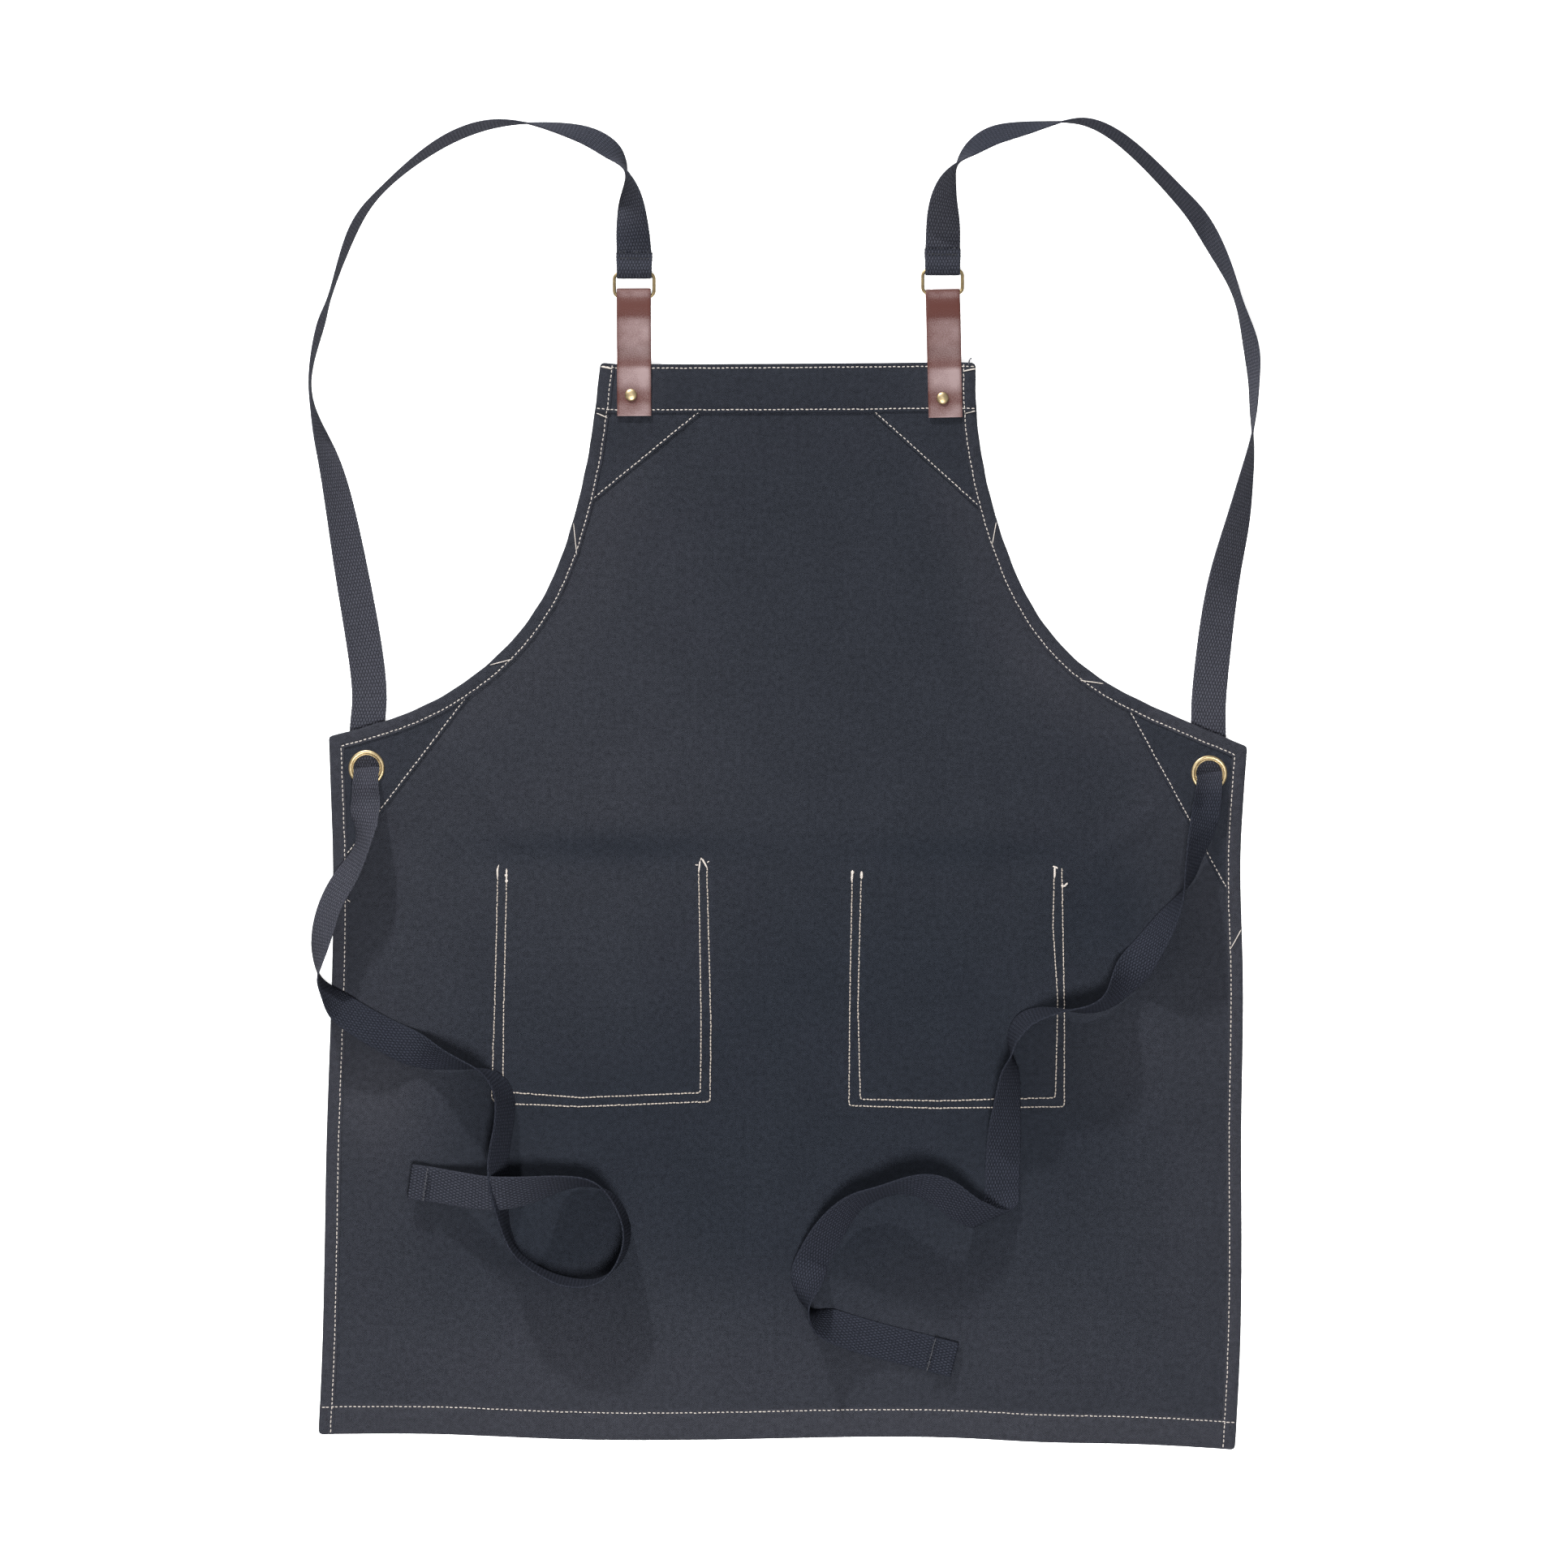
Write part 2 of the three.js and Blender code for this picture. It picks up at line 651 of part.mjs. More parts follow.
// Domed cap, post and flat back cap of a rivet in one piece
function makeRivet(side) {
  const capZ = bibRise + twill.thick + twill.hem + 2 * gap + leather.thick;
  const { cap, capHeight, post, back, backThick } = rivet;
  return lathe(
    [
      [0, 0],
      [back, 0],
      [back, backThick],
      [post, backThick],
      [post, capZ],
      [cap, capZ],
      [cap * 0.97, capZ + capHeight * 0.35],
      [cap * 0.72, capZ + capHeight * 0.78],
      [cap * 0.36, capZ + capHeight * 0.97],
      [0, capZ + capHeight],
    ],
    side.rivet,
    rivet.facets,
  );
}

// A barrel with a flat flange under the cloth and a rounded one over it
function makeEyelet(side) {
  const { outer, bore, barrel, flange } = eyelet;
  const rim = eyeletTop - flange;
  return lathe(
    [
      [bore, eyeletBase],
      [outer, eyeletBase],
      [outer, eyeletBase + flange],
      [bore + barrel, eyeletBase + flange],
      [bore + barrel, rim],
      [outer, rim],
      [outer - 0.3, rim + flange * 0.55],
      [(outer + bore) / 2, eyeletTop],
      [bore + 0.5, eyeletTop - 0.15],
      [bore, rim + 0.3],
      [bore, eyeletBase],
    ],
    side.eyelet,
    eyelet.facets,
  );
}

// The sewn end of a strap: from its cut edge back to the ring, round the upper bar and out underneath
function ringFold(side) {
  const { squeeze, level, rise } = sewnEnd;
  const barY = side.ring.y + (ring.height - ring.wire) / 2;
  const radius = ring.wire / 2 + gap + webbing.thick / 2;
  const overlayZ = strapRunZ + webbing.thick + gap;
  const at = (y, z) => ({ x: side.ring.x, y, z, bearing: 0, squeeze });
  const rows = [
    at(side.strapEnd, overlayZ),
    at(barY + level, overlayZ + rise),
    at(barY + level / 3, ring.z + radius),
  ];
  for (const degrees of [90, 135, 180, 225]) {
    const angle = THREE.MathUtils.degToRad(degrees);
    rows.push(at(barY + radius * Math.cos(angle), ring.z + radius * Math.sin(angle)));
  }
  rows.push(at(barY + rise, strapRunZ), at(barY + level, strapRunZ));
  return rows;
}

// The strap gathered through its eyelet: flat under the corner, up through the bore, over the lower rim
function threadEyelet(side, flip) {
  const { x, y } = side.eyelet;
  const over = eyeletTop + gap + webbing.thick / 2;
  const bearing = 180 + flip;
  return [
    { x, y: y + 30, z: strapRunZ, bearing },
    { x, y: y + 17, z: strapRunZ, bearing, squeeze: 0.8 },
    { x, y: y + 6.2, z: strapRunZ + 0.1, bearing, squeeze: 0.54 },
    { x, y: y + 2.4, z: strapRunZ + 2.2, bearing, squeeze: 0.53 },
    { x, y: y - 2.5, z: over - 1.3, bearing, squeeze: 0.54 },
    { x, y: y - 7, z: over + 0.5, bearing, squeeze: 0.56 },
    { x, y: y - 14, z: over + 0.5, bearing, squeeze: 0.66 },
    { x, y: y - 24, z: over - 0.6, bearing, squeeze: 0.8 },
  ];
}

// The folded tip of a strap: over itself and a short way back on top
function foldTip(rows) {
  const last = rows[rows.length - 1];
  const before = rows[rows.length - 2];
  const run = new THREE.Vector2(last.x - before.x, last.y - before.y).normalize();
  const z = last.z ?? supportAt(last.x, last.y) + gap + webbing.thick / 2;
  const bearing = THREE.MathUtils.radToDeg(Math.atan2(-run.x, run.y));
  const at = (d, up) => ({ x: last.x + run.x * d, y: last.y + run.y * d, z: z + up, bearing });
  const { length, radius, straight } = tipFold;
  return [
    at(length - straight, 0),
    at(length, radius / 3),
    at(length + radius, radius),
    at(length, 2 * radius),
    at(length - straight, 2 * radius),
    at(0, 2 * radius - gap),
  ];
}

// Height of the middle of the webbing when its lower edge or face rests on what is under it
function restHeight(middle, width) {
  const half = webbing.width / 2;
  const reach = [-1, -0.5, 0, 0.5, 1].map((v) => middle.clone().addScaledVector(width, v * half));
  const support = Math.max(...reach.map((point) => supportAt(point.x, point.y)));
  return support + gap + half * Math.abs(width.z) + (webbing.thick / 2) * Math.hypot(width.x, width.y);
}

// A flat band of webbing swept along rows of middle points, each with the direction of its width
function makeStrap(rows) {
  const half = webbing.width / 2;
  const middles = rows.map((row) => new THREE.Vector3(row.x, row.y, row.z ?? 0));
  const widths = rows.map((row, i) => {
    const before = rows[Math.max(i - 1, 0)];
    const after = rows[Math.min(i + 1, rows.length - 1)];
    const heading = Math.atan2(after.y - before.y, after.x - before.x);
    const bearing = row.bearing === undefined ? heading - Math.PI / 2 : THREE.MathUtils.degToRad(row.bearing);
    const tilt = THREE.MathUtils.degToRad(row.tilt ?? 0);
    return new THREE.Vector3(
      Math.cos(tilt) * Math.cos(bearing),
      Math.cos(tilt) * Math.sin(bearing),
      Math.sin(tilt),
    );
  });
  rows.forEach((row, i) => {
    if (row.z === undefined) {
      middles[i].z = restHeight(middles[i], widths[i]);
    }
  });
  const middleCurve = new THREE.CatmullRomCurve3(middles, false, 'centripetal');
  const widthCurve = new THREE.CatmullRomCurve3(widths, false, 'catmullrom', 0.5);
  const stations = [];
  for (let i = 0; i < rows.length - 1; i++) {
    const parts = Math.max(1, Math.round(middles[i].distanceTo(middles[i + 1]) / webbing.step));
    for (let k = 0; k < parts; k++) {
      stations.push(i + k / parts);
    }
  }
  stations.push(rows.length - 1);
  const steps = stations.map((station) => {
    const row = Math.min(Math.floor(station), rows.length - 2);
    const share = station - row;
    const middle = middleCurve.getPoint(station / (rows.length - 1));
    const width = widthCurve.getPoint(station / (rows.length - 1)).normalize();
    const squeeze = THREE.MathUtils.lerp(rows[row].squeeze ?? 1, rows[row + 1].squeeze ?? 1, share);
    if (rows[row].z === undefined && rows[row + 1].z === undefined) {
      middle.z = Math.max(middle.z, restHeight(middle, width));
    }
    return { middle, width, squeeze, free: rows[row].bearing === undefined };
  });
  const sections = steps.map(({ middle, width, squeeze, free }, i) => {
    const before = steps[Math.max(i - 1, 0)].middle;
    const after = steps[Math.min(i + 1, steps.length - 1)].middle;
    const run = after.clone().sub(before).normalize();
    const face = run.clone().cross(width);
    const reach = half * Math.min(squeeze / face.length(), webbing.spread);
    face.normalize();
    const section = [];
    for (const side of [1, -1]) {
      for (let c = 0; c <= webbing.columns; c++) {
        const across = (side * (2 * c - webbing.columns)) / webbing.columns;
        const point = middle.clone().addScaledVector(width, across * reach);
        section.push(point.addScaledVector(face, (side * webbing.thick) / 2));
      }
    }
    const shortfall = section.map((point) => supportAt(point.x, point.y) + gap - point.z);
    const lift = new THREE.Vector3(0, 0, free ? Math.max(0, ...shortfall) : 0);
    return section.map((point) => point.add(lift)).toReversed();
  });
  return loft(sections);
}

// Finishes
const finishes = {
  twill: new THREE.MeshStandardMaterial({ color: 0x363b48, roughness: 0.95, metalness: 0 }),
  webbing: new THREE.MeshStandardMaterial({ color: 0x343a48, roughness: 0.95, metalness: 0 }),
  leather: new THREE.MeshStandardMaterial({ color: 0x7a4a3e, roughness: 0.55, metalness: 0 }),
  brass: new THREE.MeshStandardMaterial({ color: 0xb0914f, roughness: 0.35, metalness: 1 }),
};

function piece(name, geometry, finish) {
  const mesh = new THREE.Mesh(geometry, finishes[finish].clone());
  mesh.name = name;
  return mesh;
}

const apron = new THREE.Group();
apron.add(piece('apron_panel', makePanel(), 'twill'));

for (const [name, side] of Object.entries(sides)) {
  const bibTriangle = patchTriangle(side.bibPatch, side.bib[0]);
  apron.add(piece(`bib_patch_${name}`, makePatch(bibTriangle, []), 'twill'));
  const sidePatch = makePatch(sidePatchTriangles[name], [eyeletHole(side.eyelet)]);
  apron.add(piece(`side_patch_${name}`, sidePatch, 'twill'));
  apron.add(piece(`pocket_${name}`, makePocket(side), 'twill'));

  const tab = makeTab(side);
  tab.group.add(piece(`leather_tab_${name}`, tab.geometry, 'leather'));
  apron.add(tab.group);
  apron.add(piece(`rivet_${name}`, makeRivet(side), 'brass'));
  apron.add(piece(`strap_ring_${name}`, makeRing(side), 'brass'));
  apron.add(piece(`eyelet_${name}`, makeEyelet(side), 'brass'));

  const flip = name === 'left' ? 0 : 180;
  const tail = tails[name];
  const route = [...ringFold(side), ...loops[name], ...threadEyelet(side, flip), ...tail];
  apron.add(piece(`strap_${name}`, makeStrap([...route, ...foldTip(tail)]), 'webbing'));
}

const middle = new THREE.Box3().setFromObject(apron).getCenter(new THREE.Vector3());
apron.position.set(-middle.x, -middle.y, 0);

export default apron;
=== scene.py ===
# A cross-back kitchen apron lying flat with its inner side up, dressed on the CAD frame of the same part.
# Lengths are millimetres on the apron's own plan; makeObject moves them to the frame, in metres.
import math

import bpy
import numpy as np
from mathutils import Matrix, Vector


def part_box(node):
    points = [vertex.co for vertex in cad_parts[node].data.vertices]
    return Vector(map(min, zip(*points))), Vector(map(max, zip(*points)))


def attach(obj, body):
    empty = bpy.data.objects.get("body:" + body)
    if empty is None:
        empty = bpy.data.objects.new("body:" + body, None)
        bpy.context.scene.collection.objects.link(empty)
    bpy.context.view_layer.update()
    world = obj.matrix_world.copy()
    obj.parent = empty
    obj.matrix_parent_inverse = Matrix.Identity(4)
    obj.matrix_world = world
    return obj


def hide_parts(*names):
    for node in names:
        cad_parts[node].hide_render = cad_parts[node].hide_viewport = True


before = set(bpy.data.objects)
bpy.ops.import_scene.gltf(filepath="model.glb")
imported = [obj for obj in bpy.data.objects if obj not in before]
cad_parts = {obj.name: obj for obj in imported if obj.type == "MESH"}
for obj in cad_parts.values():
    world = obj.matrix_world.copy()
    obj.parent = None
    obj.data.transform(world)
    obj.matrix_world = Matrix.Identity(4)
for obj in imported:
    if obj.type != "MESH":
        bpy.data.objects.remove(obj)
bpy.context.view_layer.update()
scene = bpy.context.scene
mm = 0.001
seed = 11

# Plan of the apron: outlines run from the bib's top corner downwards, all rows are (x, y)
sides = {
    "left": {
        "sign": -1,
        "bib": [
            (-135.6, 311.1), (-139.2, 279.6), (-144.6, 243.6), (-152.4, 207.6), (-163.2, 171.6),
            (-174.6, 144.6), (-191.4, 117.6), (-216.6, 90.6), (-240.0, 72.6), (-273.0, 54.6),
            (-304.0, 43.6), (-336.0, 35.1),
        ],
        "skirt": [(-333.2, -67.2), (-333.4, -120.0), (-337.5, -248.4), (-341.0, -410.4), (-343.8, -480.3)],
        "tab": {"x": -110.4, "top": 366.0, "bottom": 271.4, "turn": 0.3},
        "ring": (-110.6, 368.4),
        "strapEnd": 392.4,
        "rivet": (-112.8, 286.8),
        "eyelet": (-308.0, 11.7),
        "bibPatch": [(-57.9, 276.0), (-147.0, 203.2)],
        "sidePatch": [(-230.6, 66.0), (-329.0, -63.5)],
        "pocket": (-134.0, -60.5),
        "gather": (0.97, 1.0),
        "lean": 0.0,
        "flip": 0,
        # Strap tone along the loop and tail rows as (row, share): partly fading, partly painted light and
        # shade
        "loopFadeAndPaintedLight": [(0, 0.28), (1, 0.75), (2, 0.75), (3, 0.3), (6, 0.3), (7, 1.0)],
        "tailFadeAndPaintedLight": [(0, 0.86), (5, 0.9), (7, 0.1), (9, 0.0), (27, 0.0), (30, 0.3)],
        # Strength of the tab's pale bloom and painted sheen on its lower and upper part
        "bloomAndSheen": (1.0, 1.0),
    },
    "right": {
        "sign": 1,
        "bib": [
            (141.6, 310.8), (141.8, 279.6), (145.8, 243.6), (153.6, 207.6), (165.0, 171.6),
            (176.4, 144.6), (192.6, 117.6), (217.2, 90.6), (242.4, 72.6), (278.4, 54.6), (300.6, 44.8),
            (342.0, 27.6),
        ],
        "skirt": [(337.2, -60.6), (339.0, -134.4), (337.8, -251.4), (337.4, -404.4), (333.0, -491.7)],
        "tab": {"x": 119.2, "top": 365.4, "bottom": 270.3, "turn": 1.27},
        "ring": (117.1, 370.8),
        "strapEnd": 395.4,
        "rivet": (117.0, 284.4),
        "eyelet": (313.7, 7.8),
        "bibPatch": [(62.5, 276.0), (149.5, 197.4)],
        "sidePatch": [(248.7, 62.0), (331.4, -89.5)],
        "pocket": (127.5, -63.5),
        "gather": (0.84, 0.95),
        "lean": -0.13,
        "flip": 180,
        # Strap tone along the loop and tail rows as (row, share): partly fading, partly painted light and
        # shade
        "loopFadeAndPaintedLight": [(0, 1.0), (2, 1.0), (4, 0.1), (7, 0.1), (8, 0.55), (14, 0.58), (17, 1.0)],
        "tailFadeAndPaintedLight": [(0, 0.0)],
        # Strength of the tab's pale bloom and painted sheen on its lower and upper part
        "bloomAndSheen": (1.04, 0.72),
    },
}
hemLine = [
    (-246.6, -480.6), (-174.6, -483.6), (-126.6, -484.8), (65.4, -482.4), (137.4, -483.6),
    (185.4, -486.0), (257.4, -487.8),
]

# The plan's origin in the frame, from a fitting whose place is known in both
eyeletLow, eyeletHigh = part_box("eyelet_left")
eyeletMiddle = (np.array(eyeletLow) + np.array(eyeletHigh)) / 2 / mm
shift = np.append(eyeletMiddle[:2] - sides["left"]["eyelet"], 0.0)

cloth = {
    "lift": 0.4,
    "thick": 0.9,
    "hem": 0.9,
    "swell": 0.25,
    "dip": 0.32,
    "sideHem": 11.0,
    "sideSeam": 9.0,
    "bottomHem": 22.2,
    "bottomSeam": 20.3,
    "corner": 3.5,
    "topHem": 36.6,
    "topSeams": (3.1, 34.1),
    "band": 13.5,
    "edgeRound": 1.1,
    "wave": 0.22,
    "ripple": 0.7,
}
twill = {
    "slants": [(0.82, 0.586, 0.0), (0.82, -0.651, 0.0)],
    "rib": 0.24,
    "cross": 0.19,
    "fibre": 0.6,
    "mottle": 0.22,
}
patch = {
    "thick": 0.75,
    "seam": 2.2,
    "hemLift": 0.6,
    "gap": 0.08,
    "dip": 0.22,
    "edgeRound": 0.8,
    "longer": 0.03,
}
pocket = {"width": 160.0, "height": 180.0, "hem": 22.0, "hemThick": 0.7, "thick": 0.8}
leather = {"width": 25.2, "thick": 1.6, "back": 2.15, "rise": 3.0, "dint": 0.55, "dintReach": 6.5}
ring = {"width": 31.4, "height": 20.0, "wire": 2.6, "corner": 4.2, "z": 3.3}
eyelet = {
    "outer": 13.3,
    "bore": 9.6,
    "base": 2.05,
    "rise": 3.05,
    "top": 6.5,
    "bulge": 1.35,
    "hole": 11.0,
    "holeReach": 18.0,
    "holeCut": 5.5,
}
webbing = {
    "width": 25.8,
    "thick": 1.5,
    "step": 0.9,
    "rest": 0.25,
    "runZ": 0.95,
    "scallop": 0.1,
    "end": 1.087,
    "pick": 5.13,
    "depth": 0.62,
    "sewnFade": 0.37,
    "boreFade": 0.8,
}


# Curves and surfaces
# Soft step: 3 t^2 - 2 t^3 between 0 and 1
def softStep(t):
    t = np.clip(t, 0.0, 1.0)
    return t * t * (3.0 - 2.0 * t)


# Natural cubic through values at knots: bends from the tridiagonal system, then the cubic of each stretch
def spline(knots, values, at):
    count = len(knots)
    h = np.diff(knots)
    system = np.eye(count)
    rows = np.arange(1, count - 1)
    system[rows, rows - 1] = h[:-1]
    system[rows, rows] = 2.0 * (h[:-1] + h[1:])
    system[rows, rows + 1] = h[1:]
    slopes = np.diff(values, axis=0) / h[:, None]
    target = np.zeros_like(values)
    target[1:-1] = 6.0 * np.diff(slopes, axis=0)
    bend = np.linalg.solve(system, target)
    k = np.clip(np.searchsorted(knots, at, side="right") - 1, 0, count - 2)
    a = (knots[k + 1] - at)[:, None]
    b = (at - knots[k])[:, None]
    width = h[k][:, None]
    cubic = (bend[k] * a**3 + bend[k + 1] * b**3) / (6.0 * width)
    before = (values[k] / width - bend[k] * width / 6.0) * a
    after = (values[k + 1] / width - bend[k + 1] * width / 6.0) * b
    return cubic + before + after


# Distance along a line of points, from its first one
def runLength(points):
    return np.concatenate([[0.0], np.cumsum(np.linalg.norm(np.diff(points, axis=0), axis=1))])


# Knots for a spline, spaced by the roots of the gaps between its points
def rootKnots(points):
    return np.concatenate([[0.0], np.cumsum(np.sqrt(np.linalg.norm(np.diff(points, axis=0), axis=1)))])


# Vectors scaled to length 1
def unit(vectors):
    return vectors / np.linalg.norm(vectors, axis=-1, keepdims=True)


# Points at given distances along a line of points
def along(points, distances):
    run = runLength(points)
    return np.stack([np.interp(distances, run, column) for column in points.T], axis=-1)


# A smooth curve through a few points, resampled at an even step
def smoothLine(points, step=0.6):
    points = np.array(points, float)
    knots = runLength(points)
    fine = spline(knots, points, np.linspace(0.0, knots[-1], int(knots[-1] / step) + 2))
    return along(fine, np.linspace(0.0, runLength(fine)[-1], len(fine)))


# A straight-sided line with its corners rounded by averaging over a short window
def softCorners(points, radius=2.0, step=0.5):
    points = np.array(points, float)
    run = runLength(points)
    fine = along(points, np.arange(0.0, run[-1], step))
    reach = max(1, int(radius / step))
    kernel = np.ones(2 * reach + 1) / (2 * reach + 1)
    padded = np.pad(fine, ((reach, reach), (0, 0)), mode="edge")
    return np.stack([np.convolve(column, kernel, mode="valid") for column in padded.T], axis=-1)


# Unit normals on the left-hand side of a line's run
def leftNormals(points):
    run = unit(np.gradient(points, axis=0))
    return np.stack([-run[:, 1], run[:, 0]], axis=-1)


# The four corners of each cell of a grid of numbers
def cellCorners(index):
    return np.stack([index[:-1, :-1], index[:-1, 1:], index[1:, 1:], index[1:, :-1]], axis=-1)


# Quads of a grid of rows by columns, either way closed on itself if asked
def gridQuads(rows, columns, closeRows=False, closeColumns=False):
    index = np.arange(rows * columns).reshape(rows, columns)
    if closeColumns:
        index = np.hstack([index, index[:, :1]])
    if closeRows:
        index = np.vstack([index, index[:1]])
    return cellCorners(index).reshape(-1, 4)


# Quads of a flat band's skin: the grid closed around, with both ends filled across but for a sliver at
# each edge
def bandQuads(rows, across):
    around = 2 * across - 2
    ladder = np.arange(1, across - 2)
    cap = np.stack([ladder, ladder + 1, around - 1 - ladder, around - ladder], axis=-1)
    end = (rows - 1) * around
    return np.concatenate([gridQuads(rows, around, closeColumns=True), cap, (cap + end)[:, ::-1]])


# A mesh object from plan points and quads, with uv and float attributes given for each point
def makeObject(name, points, quads, material, nodes=(), uv=None, attributes=None):
    mesh = bpy.data.meshes.new(name)
    moved = ((points + shift) * mm).astype(np.float32)
    mesh.vertices.add(len(moved))
    mesh.vertices.foreach_set("co", moved.ravel())
    mesh.loops.add(quads.size)
    mesh.loops.foreach_set("vertex_index", quads.ravel().astype(np.int32))
    mesh.polygons.add(len(quads))
    mesh.polygons.foreach_set("loop_start", np.arange(0, quads.size, 4, dtype=np.int32))
    mesh.update(calc_edges=True)
    mesh.shade_smooth()
    if uv is not None:
        layer = mesh.uv_layers.new(name="cloth")
        layer.data.foreach_set("uv", uv[quads.ravel()].astype(np.float32).ravel())
    for label, values in (attributes or {}).items():
        attribute = mesh.attributes.new(label, "FLOAT", "POINT")
        attribute.data.foreach_set("value", values.astype(np.float32).ravel())
    mesh.materials.append(material)
    obj = bpy.data.objects.new(name, mesh)
    scene.collection.objects.link(obj)
    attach(obj, "root")
    if nodes:
        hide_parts(*nodes)
    return obj


# Shader nodes
def addNode(tree, kind, **settings):
    node = tree.nodes.new(kind)
    for key, value in settings.items():
        setattr(node, key, value)
    return node


# Put a number, colour or another node's output on an input
def feed(tree, socket, value):
    if isinstance(value, bpy.types.NodeSocket):
        tree.links.new(value, socket)
    else:
        socket.default_value = value


def feedAll(tree, node, **values):
    for label, value in values.items():
        feed(tree, node.inputs[label.replace("_", " ")], value)


def calc(tree, operation, a, b=0.0, c=0.0):
    node = addNode(tree, "ShaderNodeMath", operation=operation)
    for socket, value in zip(node.inputs, (a, b, c)):
        feed(tree, socket, value)
    return node.outputs[0]


def noise(tree, vector, scale, detail=2.0, roughness=0.5, distortion=0.0):
    node = addNode(tree, "ShaderNodeTexNoise", noise_dimensions="3D")
    feedAll(tree, node, Vector=vector, Scale=scale, Detail=detail)
    feedAll(tree, node, Roughness=roughness, Distortion=distortion)
    return node.outputs["Fac"]


def mapRange(tree, value, low, high, toLow, toHigh):
    node = addNode(tree, "ShaderNodeMapRange")
    feedAll(tree, node, Value=value, From_Min=low, From_Max=high, To_Min=toLow, To_Max=toHigh)
    return node.outputs["Result"]


def mixColour(tree, share, a, b, mode="MIX"):
    node = addNode(tree, "ShaderNodeMix", data_type="RGBA", blend_type=mode)
    feed(tree, node.inputs[0], share)
    feed(tree, node.inputs[6], a)
    feed(tree, node.inputs[7], b)
    return node.outputs[2]


# A node group that takes a place and gives the named values
def newGroup(name, *outputs):
    tree = bpy.data.node_groups.new(name, "ShaderNodeTree")
    tree.interface.new_socket("Place", in_out="INPUT", socket_type="NodeSocketVector")
    for label in outputs:
        tree.interface.new_socket(label, in_out="OUTPUT", socket_type="NodeSocketFloat")
    return tree, addNode(tree, "NodeGroupInput").outputs["Place"], addNode(tree, "NodeGroupOutput")


def useGroup(tree, group, place):
    node = addNode(tree, "ShaderNodeGroup", node_tree=group)
    feed(tree, node.inputs["Place"], place)
    return node.outputs


def newMaterial(name, **constants):
    material = bpy.data.materials.new(name)
    material.use_nodes = True
    tree = material.node_tree
    shader = tree.nodes["Principled BSDF"]
    feedAll(tree, shader, **constants)
    return material, tree, shader


def bumpFrom(tree, height, strength, distance):
    node = addNode(tree, "ShaderNodeBump")
    feedAll(tree, node, Strength=strength, Distance=distance, Height=height)
    return node.outputs["Normal"]


# Twill: two crossing slants of fine ribs as sines of the plan, the first one stronger, blurred by fibre
# noise. Place is the cloth's own plan in millimetres.
def twillGroup():
    tree, place, out = newGroup("twillWeave", "Shade", "Height", "Cloud")
    wander = calc(tree, "MULTIPLY", noise(tree, place, 0.35, 3.0), 2.0)
    ribs = []
    for slant in twill["slants"]:
        slope = addNode(tree, "ShaderNodeVectorMath", operation="DOT_PRODUCT")
        feed(tree, slope.inputs[0], place)
        feed(tree, slope.inputs[1], tuple(2 * math.pi * value for value in slant))
        ribs.append(calc(tree, "SINE", calc(tree, "ADD", slope.outputs["Value"], wander)))
    fibre = noise(tree, place, 1.5, 3.0, 0.65)
    height = calc(tree, "ADD", calc(tree, "MULTIPLY", ribs[0], 0.5), calc(tree, "MULTIPLY", ribs[1], 0.3))
    feed(tree, out.inputs["Height"], calc(tree, "ADD", height, calc(tree, "MULTIPLY", fibre, 0.6)))
    strong = calc(tree, "MULTIPLY", ribs[0], twill["rib"])
    shade = calc(tree, "ADD", strong, calc(tree, "MULTIPLY", ribs[1], twill["cross"]))
    shade = calc(tree, "ADD", shade, mapRange(tree, fibre, 0.3, 0.7, -twill["fibre"], twill["fibre"]))
    slow = noise(tree, place, 0.25, 3.0, 0.7)
    shade = calc(tree, "ADD", shade, mapRange(tree, slow, 0.3, 0.7, -twill["mottle"], twill["mottle"]))
    feed(tree, out.inputs["Shade"], calc(tree, "ADD", shade, 1.0))
    feed(tree, out.inputs["Cloud"], noise(tree, place, 0.021, 3.0, 0.55))
    return tree


# Webbing: a sine across times a sine along makes staggered long grains, and a sine of half that length
# along makes the rows they lie in; the selvedges are paler. Place is (across, along) in millimetres from
# the middle of the band.
def webbingGroup():
    tree, place, out = newGroup("webbingWeave", "Shade", "Height", "Edge")
    split = addNode(tree, "ShaderNodeSeparateXYZ")
    feed(tree, split.inputs[0], place)
    across, run = split.outputs[0], split.outputs[1]
    wander = calc(tree, "MULTIPLY", noise(tree, place, 0.5, 2.0), 3.0)
    ends = calc(tree, "MULTIPLY", across, math.pi / webbing["end"])
    picks = calc(tree, "ADD", calc(tree, "MULTIPLY", run, 2 * math.pi / webbing["pick"]), wander)
    rows = calc(tree, "MULTIPLY", calc(tree, "COSINE", calc(tree, "MULTIPLY", picks, 2.0)), -0.35)
    crossing = calc(tree, "MULTIPLY", calc(tree, "SINE", ends), calc(tree, "SINE", picks))
    grain = calc(tree, "ADD", crossing, rows)
    fibre = noise(tree, place, 1.7, 3.0, 0.65)
    edge = mapRange(tree, calc(tree, "ABSOLUTE", across), 10.9, 12.0, 0.0, 1.0)
    feed(tree, out.inputs["Edge"], edge)
    feed(tree, out.inputs["Height"], calc(tree, "ADD", grain, calc(tree, "MULTIPLY", fibre, 0.5)))
    depth = mapRange(tree, edge, 0.0, 1.0, webbing["depth"], 0.15)
    raised = calc(tree, "MULTIPLY_ADD", grain, depth, 1.0)
    feed(tree, out.inputs["Shade"], calc(tree, "ADD", raised, mapRange(tree, fibre, 0.3, 0.7, -0.7, 0.7)))
    return tree
